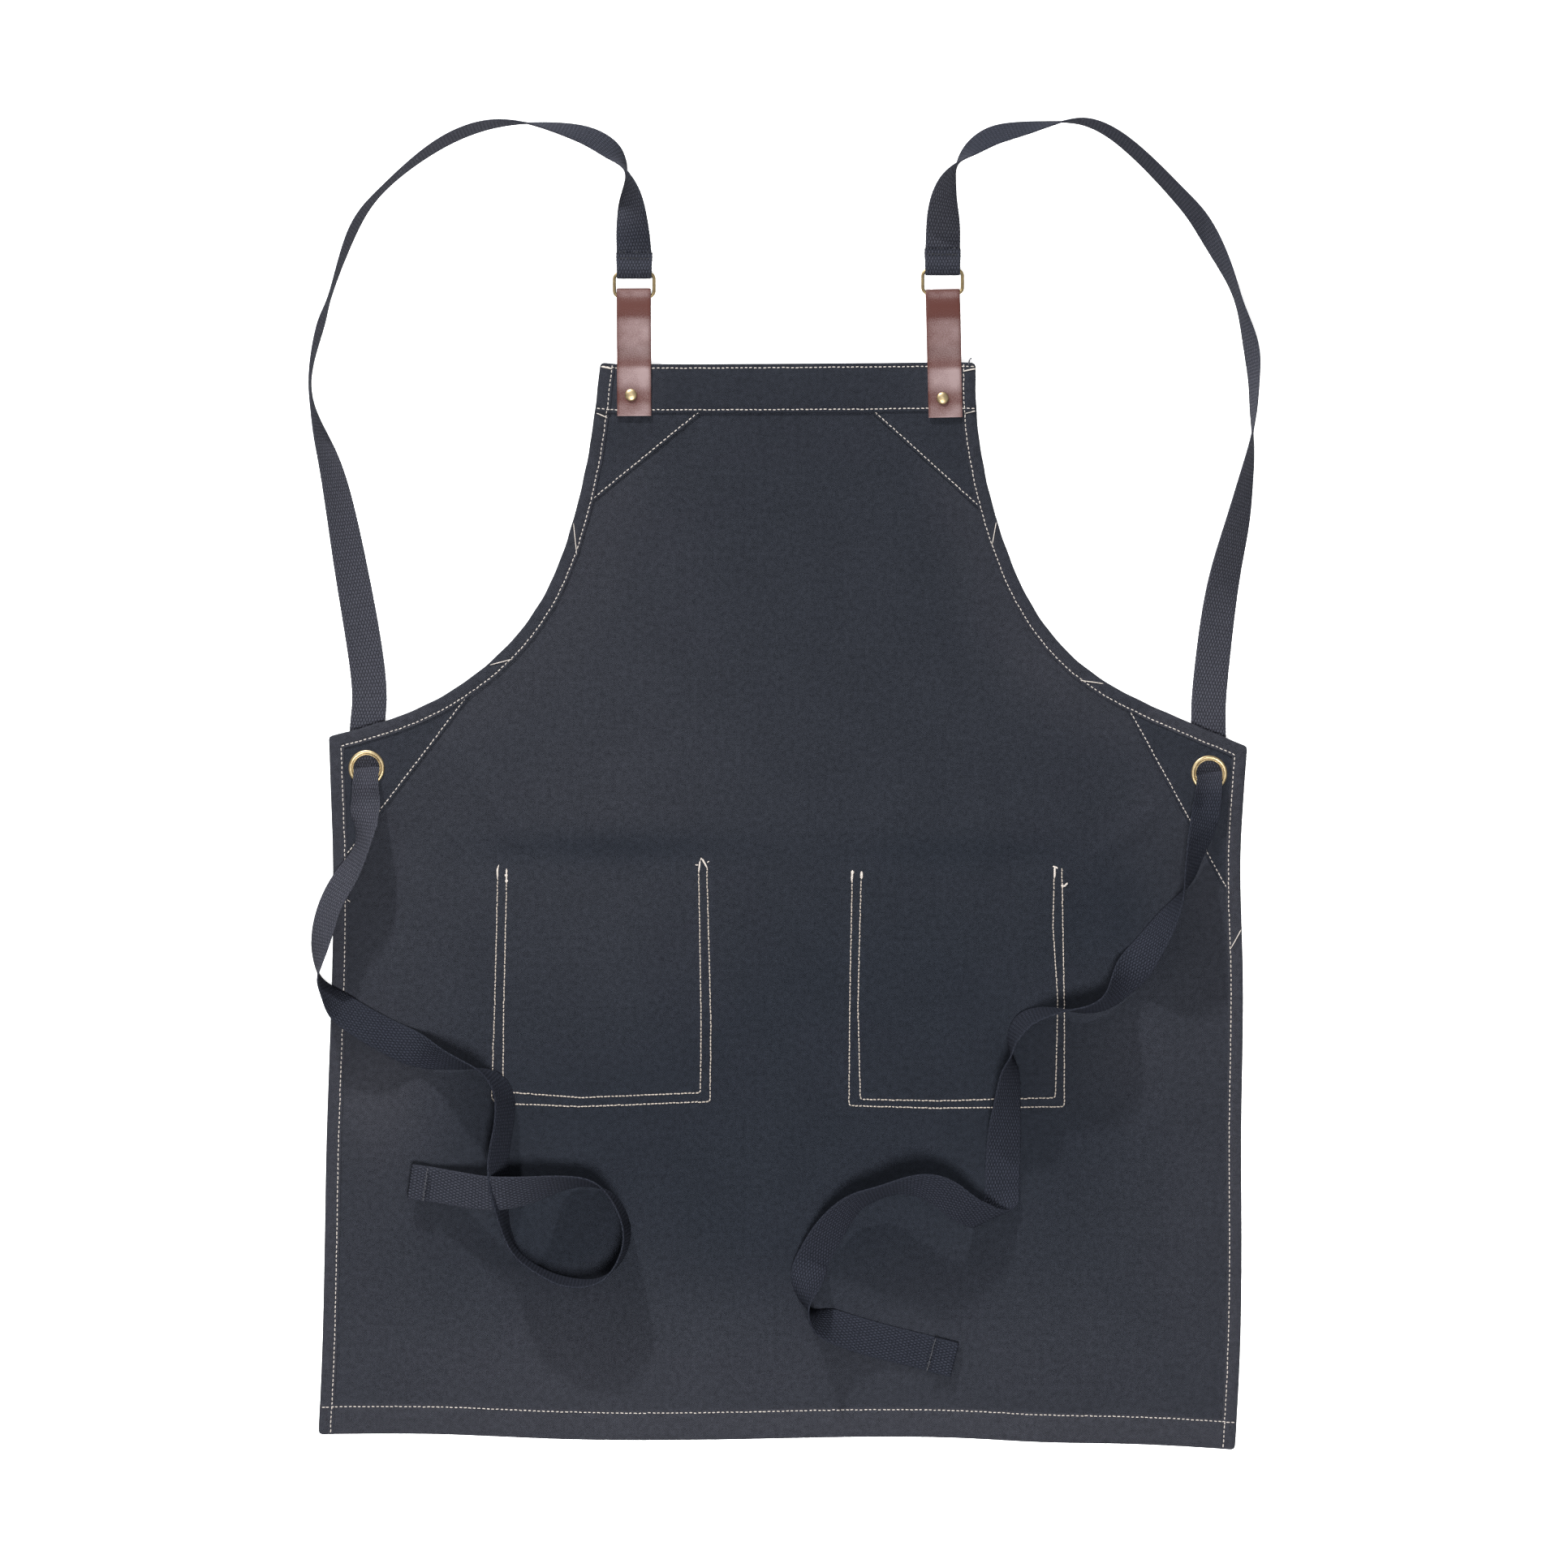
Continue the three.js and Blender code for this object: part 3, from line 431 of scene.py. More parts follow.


# Leather: fine pebbles from cell distances, flecks on their tops that speckle the bloom and painted sheen,
# and slow clouds of tone
def grainGroup():
    tree, place, out = newGroup("leatherGrain", "Height", "Fleck", "Cloud")
    cells = addNode(tree, "ShaderNodeTexVoronoi", feature="F1")
    feedAll(tree, cells, Vector=place, Scale=1.6)
    fine = noise(tree, place, 1.4, 4.0, 0.72)
    pebble = calc(tree, "MULTIPLY", cells.outputs["Distance"], -0.35)
    feed(tree, out.inputs["Height"], calc(tree, "ADD", pebble, fine))
    feed(tree, out.inputs["Fleck"], mapRange(tree, fine, 0.28, 0.72, -0.5, 0.5))
    feed(tree, out.inputs["Cloud"], noise(tree, place, 0.09, 3.0, 0.55))
    return tree


# Brass: slow patina clouds and fine scratches along the part
def patinaGroup():
    tree, place, out = newGroup("brassPatina", "Cloud", "Scratch")
    feed(tree, out.inputs["Cloud"], noise(tree, place, 260.0, 4.0, 0.6))
    feed(tree, out.inputs["Scratch"], noise(tree, place, 2400.0, 3.0, 0.7, 0.6))
    return tree


def uvPlace(tree):
    return addNode(tree, "ShaderNodeUVMap", uv_map="cloth").outputs["UV"]


def grey(tree, value):
    node = addNode(tree, "ShaderNodeCombineColor")
    for socket in node.inputs:
        feed(tree, socket, value)
    return node.outputs[0]


twillLook = {
    "colour": (0.0101, 0.0118, 0.0159, 1.0),
    # The pale colour that the tone share mixes in: hems, wear and painted light and shade
    "paleColour": (0.0199, 0.0207, 0.0256, 1.0),
    "share": "turned",
    "tone": ("Cloud", 0.3, 0.7, 0.95, 1.05),
    "bump": (0.5, 0.00016),
    "rough": 0.95,
    "specular": 0.03,
}
webbingLook = {
    "colour": (0.0130, 0.0144, 0.0198, 1.0),
    # The pale colour that the tone share mixes in: fading and painted light and shade
    "paleColour": (0.0285, 0.0292, 0.0365, 1.0),
    "share": "fadeAndPaintedLight",
    "tone": ("Edge", 0.0, 1.0, 1.0, 1.05),
    "bump": (0.8, 0.0003),
    "rough": 0.95,
    "specular": 0.02,
}
leatherLook = {
    "colour": (0.0475, 0.0138, 0.0104, 1.0),
    # Pale colour of the waxed bloom and painted sheen
    "bloomAndSheen": (0.185, 0.134, 0.134, 1.0),
    "speckle": 0.82,
    "bump": (0.5, 0.00014),
    "rough": 0.5,
    "specular": 0.16,
}
darkLook = {"colour": (0.0065, 0.0072, 0.0100, 1.0), "shade": (0.004, 0.0045, 0.0065, 1.0), "rough": 0.9}
threadLook = {"colour": (0.40, 0.362, 0.328, 1.0), "shade": (0.25, 0.221, 0.197, 1.0), "rough": 0.7}
ropeLook = {"colour": (0.36, 0.312, 0.268, 1.0), "shade": (0.15, 0.13, 0.112, 1.0), "rough": 0.75}
fibreLook = {"colour": (0.036, 0.037, 0.045, 1.0), "shade": (0.020, 0.021, 0.027, 1.0), "rough": 0.95}
brightLook = {"colour": (0.385, 0.305, 0.178, 1.0), "worn": (0.245, 0.18, 0.095, 1.0), "rough": 0.44}
antiqueLook = {"colour": (0.225, 0.172, 0.09, 1.0), "worn": (0.105, 0.078, 0.043, 1.0), "rough": 0.48}


# Woven cloth: an attribute gives the pale share of two colours, partly fading and wear and partly painted
# light and shade, and the weave shades and raises them
def makeWoven(name, look, group):
    constants = {"Roughness": look["rough"], "Specular_IOR_Level": look["specular"]}
    material, tree, shader = newMaterial(name, **constants)
    weave = useGroup(tree, group, uvPlace(tree))
    share = addNode(tree, "ShaderNodeAttribute", attribute_name=look["share"]).outputs["Fac"]
    base = mixColour(tree, share, look["colour"], look["paleColour"])
    source, *limits = look["tone"]
    tone = calc(tree, "MULTIPLY", weave["Shade"], mapRange(tree, weave[source], *limits))
    colour = mixColour(tree, 1.0, base, grey(tree, tone), "MULTIPLY")
    feedAll(tree, shader, Base_Color=colour, Normal=bumpFrom(tree, weave["Height"], *look["bump"]))
    return material


# Leather: a pale colour over the dark one where the bloom attribute says, clouded and flecked; partly the
# wax's bloom, partly painted sheen and painted shade
def makeLeather(look, group):
    constants = {"Roughness": look["rough"], "Specular_IOR_Level": look["specular"]}
    material, tree, shader = newMaterial("leather", **constants)
    grain = useGroup(tree, group, uvPlace(tree))
    bloomAndSheen = addNode(tree, "ShaderNodeAttribute", attribute_name="bloomAndSheen").outputs["Fac"]
    slow = calc(tree, "MULTIPLY", bloomAndSheen, mapRange(tree, grain["Cloud"], 0.3, 0.7, 0.75, 1.25))
    speckled = calc(tree, "ADD", slow, calc(tree, "MULTIPLY", grain["Fleck"], look["speckle"]))
    inside = mapRange(tree, bloomAndSheen, 0.0, 0.15, 0.0, 1.0)
    pale = calc(tree, "MULTIPLY", mapRange(tree, speckled, 0.0, 1.0, 0.0, 1.0), inside)
    colour = mixColour(tree, pale, look["colour"], look["bloomAndSheen"])
    feedAll(tree, shader, Base_Color=colour, Normal=bumpFrom(tree, grain["Height"], *look["bump"]))
    return material


def makeBrass(name, look, group):
    material, tree, shader = newMaterial(name, Metallic=1.0, Roughness=look["rough"])
    patina = useGroup(tree, group, addNode(tree, "ShaderNodeTexCoord").outputs["Object"])
    worn = mapRange(tree, patina["Cloud"], 0.42, 0.68, 0.0, 0.8)
    colour = mixColour(tree, worn, look["colour"], look["worn"])
    rough = mapRange(tree, patina["Scratch"], 0.2, 0.8, look["rough"] - 0.08, look["rough"] + 0.14)
    normal = bumpFrom(tree, patina["Scratch"], 0.12, 0.00004)
    feedAll(tree, shader, Base_Color=colour, Roughness=rough, Normal=normal)
    return material


# Thread: two plies as slanted stripes round each stitch, the darker stripe painted shade between the plies
def makeThread(name, look):
    material, tree, shader = newMaterial(name, Roughness=look["rough"])
    split = addNode(tree, "ShaderNodeSeparateXYZ")
    feed(tree, split.inputs[0], uvPlace(tree))
    turn = calc(tree, "MULTIPLY", split.outputs[0], 4 * math.pi)
    ply = calc(tree, "SINE", calc(tree, "ADD", turn, calc(tree, "MULTIPLY", split.outputs[1], 7.0)))
    share = mapRange(tree, ply, -1.0, 0.4, 1.0, 0.0)
    colour = mixColour(tree, share, look["colour"], look["shade"])
    feedAll(tree, shader, Base_Color=colour, Normal=bumpFrom(tree, ply, 0.5, 0.0001))
    return material


brassPatina = patinaGroup()
twillMaterial = makeWoven("twill", twillLook, twillGroup())
webbingMaterial = makeWoven("webbing", webbingLook, webbingGroup())
leatherMaterial = makeLeather(leatherLook, grainGroup())
brightMaterial = makeBrass("brightBrass", brightLook, brassPatina)
antiqueMaterial = makeBrass("antiqueBrass", antiqueLook, brassPatina)
threadMaterial = makeThread("thread", threadLook)
ropeMaterial = makeThread("ropeThread", ropeLook)
darkMaterial = makeThread("darkThread", darkLook)
fibreMaterial = makeThread("strapFibre", fibreLook)
print("materials made")


# Lie of the cloth
# A level top of half sizes (halfX, halfY) with a soft skirt round it, from 1 down to 0
def plateau(x, y, centre, halfX, halfY, skirt):
    outX = np.maximum(np.abs(x - centre[0]) - halfX, 0.0)
    outY = np.maximum(np.abs(y - centre[1]) - halfY, 0.0)
    return softStep(1.0 - np.hypot(outX, outY) / skirt)


# Soft unevenness of laid cloth: nine waves of 60 to 200 mm, each turned by the golden angle
def ripple(x, y):
    total = np.zeros_like(x)
    for k in range(9):
        length = 60.0 + 17.0 * k
        angle = 2.399963 * k
        away = x * math.cos(angle) + y * math.sin(angle)
        total += length / 200.0 * np.sin(2 * math.pi * away / length + 1.7 * k)
    return cloth["ripple"] * (1.0 + np.tanh(total / 2.2))


# Creases of the laid cloth as (x, y, x, y, height, width)
creases = [
    (-243.0, 26.0, -186.0, -54.0, 2.6, 6.5), (-262.0, 2.0, -226.0, -46.0, -0.25, 8.0),
    (281.0, -14.0, 222.0, -62.0, 1.6, 7.5), (-83.0, 225.0, -80.0, 70.0, 0.7, 5.0),
    (147.0, 150.0, 150.0, -50.0, 0.8, 9.0), (-6.0, -250.0, -14.0, -440.0, 0.7, 9.0),
]


# Sum of the creases: a bell across each, faded out softly over its ends
def creaseHeight(x, y):
    total = np.zeros_like(x)
    for x0, y0, x1, y1, height, width in creases:
        length = math.hypot(x1 - x0, y1 - y0)
        share = ((x - x0) * (x1 - x0) + (y - y0) * (y1 - y0)) / length**2
        away = ((x - x0) * (y1 - y0) - (y - y0) * (x1 - x0)) / length
        ends = softStep(share / 0.4 + 0.5) * softStep((1.0 - share) / 0.4 + 0.5)
        total += height * ends * np.exp(-((away / width) ** 2))
    return total


# Height of the panel's underside over the floor: pockets, leather and eyelet corners lift it
def underHeight(x, y):
    lift = np.zeros_like(x)
    for side in sides.values():
        px, top = side["pocket"]
        half = pocket["width"] / 2
        rise = cloth["lift"] + pocket["thick"] - 0.2
        halfBody, halfHem = pocket["height"] / 2, pocket["hem"] / 2
        tabMiddle = (side["tab"]["bottom"] + side["bib"][0][1]) / 2
        tabHalf = (side["bib"][0][1] - side["tab"]["bottom"]) / 2
        eyeletX, eyeletY = side["eyelet"]
        reach = eyelet["outer"]
        lifters = [
            (rise, (px, top - halfBody), half - 1, halfBody - 1, 9.0),
            (rise + pocket["hemThick"], (px, top - halfHem), half - 1, halfHem - 1, 9.0),
            (leather["rise"], (side["tab"]["x"], tabMiddle), leather["width"] / 2 + 2, tabHalf + 2, 34.0),
            (eyelet["rise"], (eyeletX, eyeletY + 12), reach + 2, reach + 12, 46.0),
        ]
        for height, *place in lifters:
            lift = np.maximum(lift, height * plateau(x, y, *place))
    slack = np.maximum(ripple(x, y) + creaseHeight(x, y), 0.0)
    return cloth["lift"] + lift + slack * softStep(1.15 - lift / 2.4)


# Ends of a patch's slanted edge, and the unit direction from it towards the corner
def patchEdge(side, key):
    start, end = (np.array(point) for point in side[key])
    slant = unit(end - start)
    outward = np.array([slant[1], -slant[0]])
    return start, end, outward * np.sign(outward[0] * side["sign"])


# Share of a place that a corner patch covers, soft over 2 mm at its slanted edge
def patchCover(x, y):
    cover = np.zeros_like(x)
    for side in sides.values():
        for key, low, high in (("bibPatch", 180.0, 330.0), ("sidePatch", -120.0, 80.0)):
            start, _, outward = patchEdge(side, key)
            beyond = (x - start[0]) * outward[0] + (y - start[1]) * outward[1]
            near = (y > low) & (y < high) & (x * side["sign"] > 0)
            cover = np.maximum(cover, softStep(beyond / 2.0) * near)
    return cover


# Top of the plain panel
def clothTop(x, y):
    return underHeight(x, y) + cloth["thick"]


# Distances of the panel's first rows from its bottom and top edges, and of the hem band's columns from
# its side edge
bottomSteps = np.array([0, 0.25, 0.6, 1.1, 2.5, 6, 11, 17.5, 19.5, 20.3, 21.1, 22.0, 22.25, 22.8, 25])
topSteps = np.array(
    [0, 0.25, 0.6, 1.1, 2.2, 3.1, 4.0, 6, 12, 20, 28, 33.0, 34.1, 35.2, 36.4, 36.7, 37.3, 41]
)
bandSteps = np.array([0, 0.25, 0.6, 1.1, 2.4, 4.6, 6.8, 8.2, 9.0, 9.7, 10.5, 10.85, 11.1, 11.8, 13.5])


# Rows of the panel's grid as (length, fine step, limit, coarse step), the ground's width, and a distance
# out of reach
panelGrid = {
    "skirt": (490.0, 2.5, 44.0, 5.2),
    "bib": (340.0, 2.5, 20.0, 4.8),
    "ground": 651.0,
    "far": 900.0,
}


# Distances from 0 to a length, at a fine step up to a limit and a coarse one after it
def steps(length, fine, limit, coarse):
    near = np.arange(0.0, limit, fine)
    return np.concatenate([near, np.linspace(limit, length, int((length - limit) / coarse) + 2)])


# One side's outline as two smooth lines, the skirt's up to the side corner and the bib's on to the top,
# with the lines inside them that the hem band ends on; the inner ones stop where they meet. The bib's edge
# wavers by a product of two sines.
def edgeLines(side):
    skirt = smoothLine(side["skirt"][::-1] + [side["bib"][-1]])
    bib = smoothLine(side["bib"][::-1])
    wave = cloth["wave"] * np.sin(runLength(bib) / 4.3) * np.sin(runLength(bib) / 17.0)
    bib = bib + leftNormals(bib) * wave[:, None]
    inward = side["sign"] * cloth["band"]
    innerSkirt = skirt + leftNormals(skirt) * inward
    innerBib = bib + leftNormals(bib) * inward
    gaps = np.linalg.norm(innerSkirt[:, None] - innerBib[None], axis=2)
    i, j = np.unravel_index(np.argmin(gaps), gaps.shape)
    meeting = (innerSkirt[i] + innerBib[j]) / 2
    innerSkirt = np.vstack([innerSkirt[:i], meeting])
    innerBib = np.vstack([meeting, innerBib[j + 1 :]])
    return skirt, bib, innerSkirt, innerBib


# Points at the panel's rows on the outline and on the inner lines. Inner points keep the outer points'
# places near the bottom and the top, and close up softly towards the side corner.
def edgeRows(side):
    skirt, bib, innerSkirt, innerBib = edgeLines(side)
    skirtLength, innerSkirtLength = runLength(skirt)[-1], runLength(innerSkirt)[-1]
    bibLength, innerBibLength = runLength(bib)[-1], runLength(innerBib)[-1]
    skirtShares = steps(*panelGrid["skirt"])[::-1] / panelGrid["skirt"][0]
    up = bottomSteps[-1] + (1.0 - skirtShares[1:]) * (skirtLength - bottomSteps[-1])
    up = np.concatenate([bottomSteps, up])
    innerUp = up - (skirtLength - innerSkirtLength) * softStep((up - skirtLength + 140.0) / 140.0)
    bibShares = steps(*panelGrid["bib"]) / panelGrid["bib"][0]
    down = bibLength - bibShares[1:-1] * (bibLength - topSteps[-1])
    down = np.concatenate([down, topSteps[::-1]])
    innerDown = down + (innerBibLength - bibLength) * softStep((down - 60.0) / (bibLength - 60.0))
    outer = np.vstack([along(skirt, up), along(bib, bibLength - down)])
    inner = np.vstack([along(innerSkirt, innerUp), along(innerBib, innerBibLength - innerDown)])
    corner = len(up) - 1
    outer[corner] = outer[corner] / 2 + (outer[corner - 1] + outer[corner + 1]) / 4
    fromTop = np.concatenate([np.full(len(up), panelGrid["far"]), down])
    fromBottom = np.concatenate([up, np.full(len(down), panelGrid["far"])])
    return outer, inner, fromBottom, fromTop


leftOuter, leftInner, fromBottom, fromTop = edgeRows(sides["left"])
rightOuter, rightInner, _, _ = edgeRows(sides["right"])
bottomEdge = smoothLine([sides["left"]["skirt"][-1]] + hemLine + [sides["right"]["skirt"][-1]])

# Columns across the panel: two hem bands and the ground between them, finer beside the bands
groundWidth = panelGrid["ground"]
groundSteps = np.concatenate([np.arange(0.0, 32.0, 2.5), np.linspace(32.0, groundWidth / 2, 56)])
groundShares = np.concatenate([groundSteps, groundWidth - groundSteps[-2::-1]]) / groundWidth
bandShares = bandSteps / cloth["band"]
leftBand = leftOuter[:, None] + (leftInner - leftOuter)[:, None] * bandShares[None, :-1, None]
rightBand = rightOuter[:, None] + (rightInner - rightOuter)[:, None] * bandShares[None, -2::-1, None]
ground = leftInner[:, None] + (rightInner - leftInner)[:, None] * groundShares[None, :, None]
plan = np.concatenate([leftBand, ground, rightBand], axis=1)
groundGap = np.minimum(groundShares, 1.0 - groundShares) * groundWidth
groundGap = np.minimum(groundSteps[-1], groundGap) + cloth["band"]
fromSide = np.concatenate([bandSteps[:-1], groundGap, bandSteps[-2::-1]])
sag = np.interp(plan[0, :, 0], bottomEdge[:, 0], bottomEdge[:, 1]) - plan[0, :, 1]
plan[:, :, 1] += sag[None] * softStep(1.0 - (fromBottom - 25.0) / 160.0)[:, None]

# The four outer corners are rounded: with a and b the shares of the way out to both edges, each moves in
# by radius times its share times 1 minus the root of 1 - half the square of the other
cornerRadius = cloth["corner"]
sideShare = np.clip(1.0 - fromSide / cornerRadius, 0.0, 1.0)[None]
endShare = np.clip(1.0 - np.minimum(fromBottom, fromTop) / cornerRadius, 0.0, 1.0)[:, None]
inwardX = np.where(np.arange(plan.shape[1]) < plan.shape[1] / 2, 1.0, -1.0)[None]
inwardY = np.where(fromBottom < fromTop, 1.0, -1.0)[:, None]
plan[:, :, 0] += inwardX * cornerRadius * sideShare * (1.0 - np.sqrt(1.0 - endShare**2 / 2))
plan[:, :, 1] += inwardY * cornerRadius * endShare * (1.0 - np.sqrt(1.0 - sideShare**2 / 2))


# Rise of a turned hem against the distance from its edge: a level step, half a sine of swell and a bell
# of dip at each seam
def hemRise(distance, width, seams):
    step = 1.0 - softStep((distance - width) / 0.3 + 0.5)
    swell = cloth["swell"] * np.sin(math.pi * np.clip(distance / seams[-1], 0.0, 1.0))
    dips = sum(cloth["dip"] * np.exp(-(((distance - seam) / 0.9) ** 2)) for seam in seams)
    return step * (cloth["hem"] + swell - dips)


# Round-over of the cloth's edge: a quarter circle that reaches 1 at the edge radius
def edgeShare(distance):
    return np.sqrt(1.0 - (1.0 - np.clip(distance / cloth["edgeRound"], 0.0, 1.0)) ** 2)


# Opens a round hole in a plan by pushing points outwards, and marks the quads in its middle:
# r becomes the root of radius^2 + r^2 (1 - radius^2 / reach^2)
def openHole(points, centre):
    radius, reach = eyelet["hole"], eyelet["holeReach"]
    offset = points - np.array(centre)
    r = np.linalg.norm(offset, axis=-1)
    wider = np.sqrt(radius**2 + r**2 * (1.0 - radius**2 / reach**2))
    scale = np.where(r < reach, wider / np.maximum(r, 1e-3), 1.0)
    middle = cellCorners(r).mean(axis=-1)
    return np.array(centre) + offset * scale[..., None], middle < eyelet["holeCut"]


# A closed sheet from a plan grid with its top and underside heights: rim points are shared, and quads
# marked as cut are left out with walls round the hole
def closedSheet(plan, top, under, cut=None):
    rows, columns = top.shape
    index = np.arange(rows * columns).reshape(rows, columns)
    rim = np.zeros((rows, columns), bool)
    rim[[0, -1]] = True
    rim[:, [0, -1]] = True
    lower = np.where(rim, index, index + rows * columns)
    keep = np.ones((rows - 1, columns - 1), bool) if cut is None else ~cut
    quads = [cellCorners(index)[keep], cellCorners(lower)[keep][:, ::-1]]
    acrossRows = keep[:-1] != keep[1:]
    r, c = np.nonzero(acrossRows)
    wall = np.stack([index[r + 1, c], index[r + 1, c + 1], lower[r + 1, c + 1], lower[r + 1, c]], axis=-1)
    quads.append(np.where(keep[r, c][:, None], wall[:, ::-1], wall))
    acrossColumns = keep[:, :-1] != keep[:, 1:]
    r, c = np.nonzero(acrossColumns)
    wall = np.stack([index[r, c + 1], index[r + 1, c + 1], lower[r + 1, c + 1], lower[r, c + 1]], axis=-1)
    quads.append(np.where(keep[r, c][:, None], wall, wall[:, ::-1]))
    quads = np.concatenate(quads)
    flat = plan.reshape(-1, 2)
    points = np.vstack([np.column_stack([flat, top.ravel()]), np.column_stack([flat, under.ravel()])])
    used, packed = np.unique(quads, return_inverse=True)
    return points[used], packed.reshape(quads.shape), used


# Slow tone of the panel as soft spots (x, y, reach across, reach up, strength) on top of an even fading:
# partly wear, partly painted shade and painted light in and around the straps' shadows and above the
# pockets' tops;
# with more of it towards the edges, partly painted light, and a darker tone for the hems above the waist
wearAndPaintedLight = {
    "even": 0.26,
    "edge": 0.3,
    "edgeReach": 120.0,
    "bibHem": 0.56,
    "spots": [
        (-170.0, 0.0, 150.0, 120.0, 0.34), (-110.0, 190.0, 60.0, 120.0, 0.2),
        (0.0, -250.0, 260.0, 75.0, -0.34), (115.0, -145.0, 100.0, 90.0, -0.22),
        (0.0, -150.0, 80.0, 110.0, -0.16), (10.0, -330.0, 110.0, 70.0, -0.2),
        (-190.0, -440.0, 170.0, 60.0, 0.2), (200.0, 80.0, 60.0, 50.0, 0.15),
        (246.0, -98.0, 45.0, 45.0, -0.34), (-166.0, -332.0, 36.0, 26.0, -0.5),
        (-302.0, -236.0, 44.0, 46.0, 0.56), (242.0, -200.0, 50.0, 40.0, 0.2),
        (-134.0, -47.0, 90.0, 14.0, -0.5), (127.0, -50.0, 90.0, 14.0, -0.2),
    ],
}


# The even fading plus a bell for each spot of wear, painted shade and painted light
def wearAndPaintedLightAt(x, y):
    total = wearAndPaintedLight["even"]
    for a, b, across, up, share in wearAndPaintedLight["spots"]:
        total = total + share * np.exp(-(((x - a) / across) ** 2) - ((y - b) / up) ** 2)
    return total


# The panel: its grid with the eyelet holes opened, the hems' rise on top of the cloth, and the thickness
# closing to its middle at the rounded edge
def makePanel():
    points = plan
    cut = np.zeros((len(plan) - 1, plan.shape[1] - 1), bool)
    for side in sides.values():
        points, hole = openHole(points, side["eyelet"])
        cut |= hole
    x, y = points[..., 0], points[..., 1]
    sideRise = hemRise(fromSide, cloth["sideHem"], (cloth["sideSeam"],))[None]
    bottomRise = hemRise(fromBottom, cloth["bottomHem"], (cloth["bottomSeam"],))[:, None]
    topRise = hemRise(fromTop, cloth["topHem"], cloth["topSeams"])[:, None]
    turned = (fromSide < cloth["sideHem"])[None] | (fromBottom < cloth["bottomHem"])[:, None]
    anyTurned = turned | (fromTop < cloth["topHem"])[:, None]
    rise = sideRise + bottomRise + topRise + patch["hemLift"] * patchCover(x, y) * anyTurned
    base = underHeight(x, y)
    thick = cloth["thick"] + rise
    share = np.minimum(edgeShare(fromSide)[None], edgeShare(np.minimum(fromBottom, fromTop))[:, None])
    top = base + thick * (0.5 + 0.5 * share)
    under = base + thick * (0.5 - 0.5 * share)
    slant = np.where(anyTurned, -1.0, 1.0)
    uv = np.stack([x * slant, y], axis=-1).reshape(-1, 2)
    # Tone share: the spots of wear, painted shade and painted light, more of it towards the edges, partly
    # painted light, and the hems lighter, partly painted light, but darker above the waist
    near = np.minimum(fromSide[None], (fromBottom * 0.8)[:, None])
    ground = wearAndPaintedLightAt(x, y) + wearAndPaintedLight["edge"] * softStep(1.15 - near / wearAndPaintedLight["edgeReach"])
    hemTone = turned * np.where(fromTop < 300.0, wearAndPaintedLight["bibHem"], 1.0)[:, None]
    tone = np.maximum(hemTone, np.clip(ground, 0.0, 1.0))
    verts, quads, used = closedSheet(points, top, under, cut)
    uv = np.vstack([uv, np.stack([x, y], axis=-1).reshape(-1, 2)])[used]
    tone = np.concatenate([tone.ravel(), np.full(tone.size, wearAndPaintedLight["even"])])[used]
    look = {"turned": tone}
    obj = makeObject("apronPanel", verts, quads, twillMaterial, ["apron_panel"], uv, look)
    return obj, np.dstack([points, top]), np.dstack([points, under])


panel, panelUpper, panelLower = makePanel()
print("panel made", len(panel.data.polygons), "faces")


# A corner patch: rows run parallel to its slanted edge and shrink towards the corner that the hems cover
def makePatch(name, node, start, end, corner, hole=None):
    start, end, corner = (np.array(point, float) for point in (start, end, corner))
    reach = (start - end) * patch["longer"]
    start, end = start + reach, end - reach
    length = np.linalg.norm(end - start)
    turn = np.cross((end - start) / length, corner - start)
    depth = abs(turn)
    distance = np.concatenate([[0, 0.2, 0.45, 0.8, 1.6, 2.2, 2.8, 4.2], np.arange(6.5, depth * 0.96, 2.4)])
    share = distance / depth
    across = np.linspace(0.0, 1.0, int(length / 2.4))
    edge = start + (end - start) * across[:, None]
    points = edge[None] + (corner - edge)[None] * share[:, None, None]
    cut = None
    if hole is not None:
        points, cut = openHole(points, hole)
    x, y = points[..., 0], points[..., 1]
    base = clothTop(x, y) + patch["gap"]
    dip = patch["dip"] * np.exp(-(((distance - patch["seam"]) / 0.8) ** 2))
    rounding = np.sqrt(1.0 - (1.0 - np.clip(distance / patch["edgeRound"], 0.0, 1.0)) ** 2)
    thick = (patch["thick"] * np.maximum(rounding, 0.05) - dip)[:, None] * np.ones_like(x)
    top = base + thick
    top[0] = base[0] + 0.1
    uv = np.stack([x, y], axis=-1).reshape(-1, 2)
    verts, quads, used = closedSheet(points, top, base, cut)
    if turn < 0:
        quads = quads[:, ::-1]
    uv = np.vstack([uv, uv])[used]
    # Tone from the spots of wear, painted shade and painted light
    tone = wearAndPaintedLightAt(verts[:, 0], verts[:, 1])
    return makeObject(name, verts, quads, twillMaterial, [node], uv, {"turned": tone})


for label, side in sides.items():
    topCorner = np.array(side["bib"][0]) + (-8.0 * side["sign"], -9.0)
    sideCorner = np.array(side["bib"][-1]) + (-7.0 * side["sign"], -6.0)
    ends = (*side["sidePatch"], sideCorner, side["eyelet"])
    makePatch(f"bibPatch.{label}", f"bib_patch_{label}", *side["bibPatch"], topCorner)
    makePatch(f"sidePatch.{label}", f"side_patch_{label}", *ends)


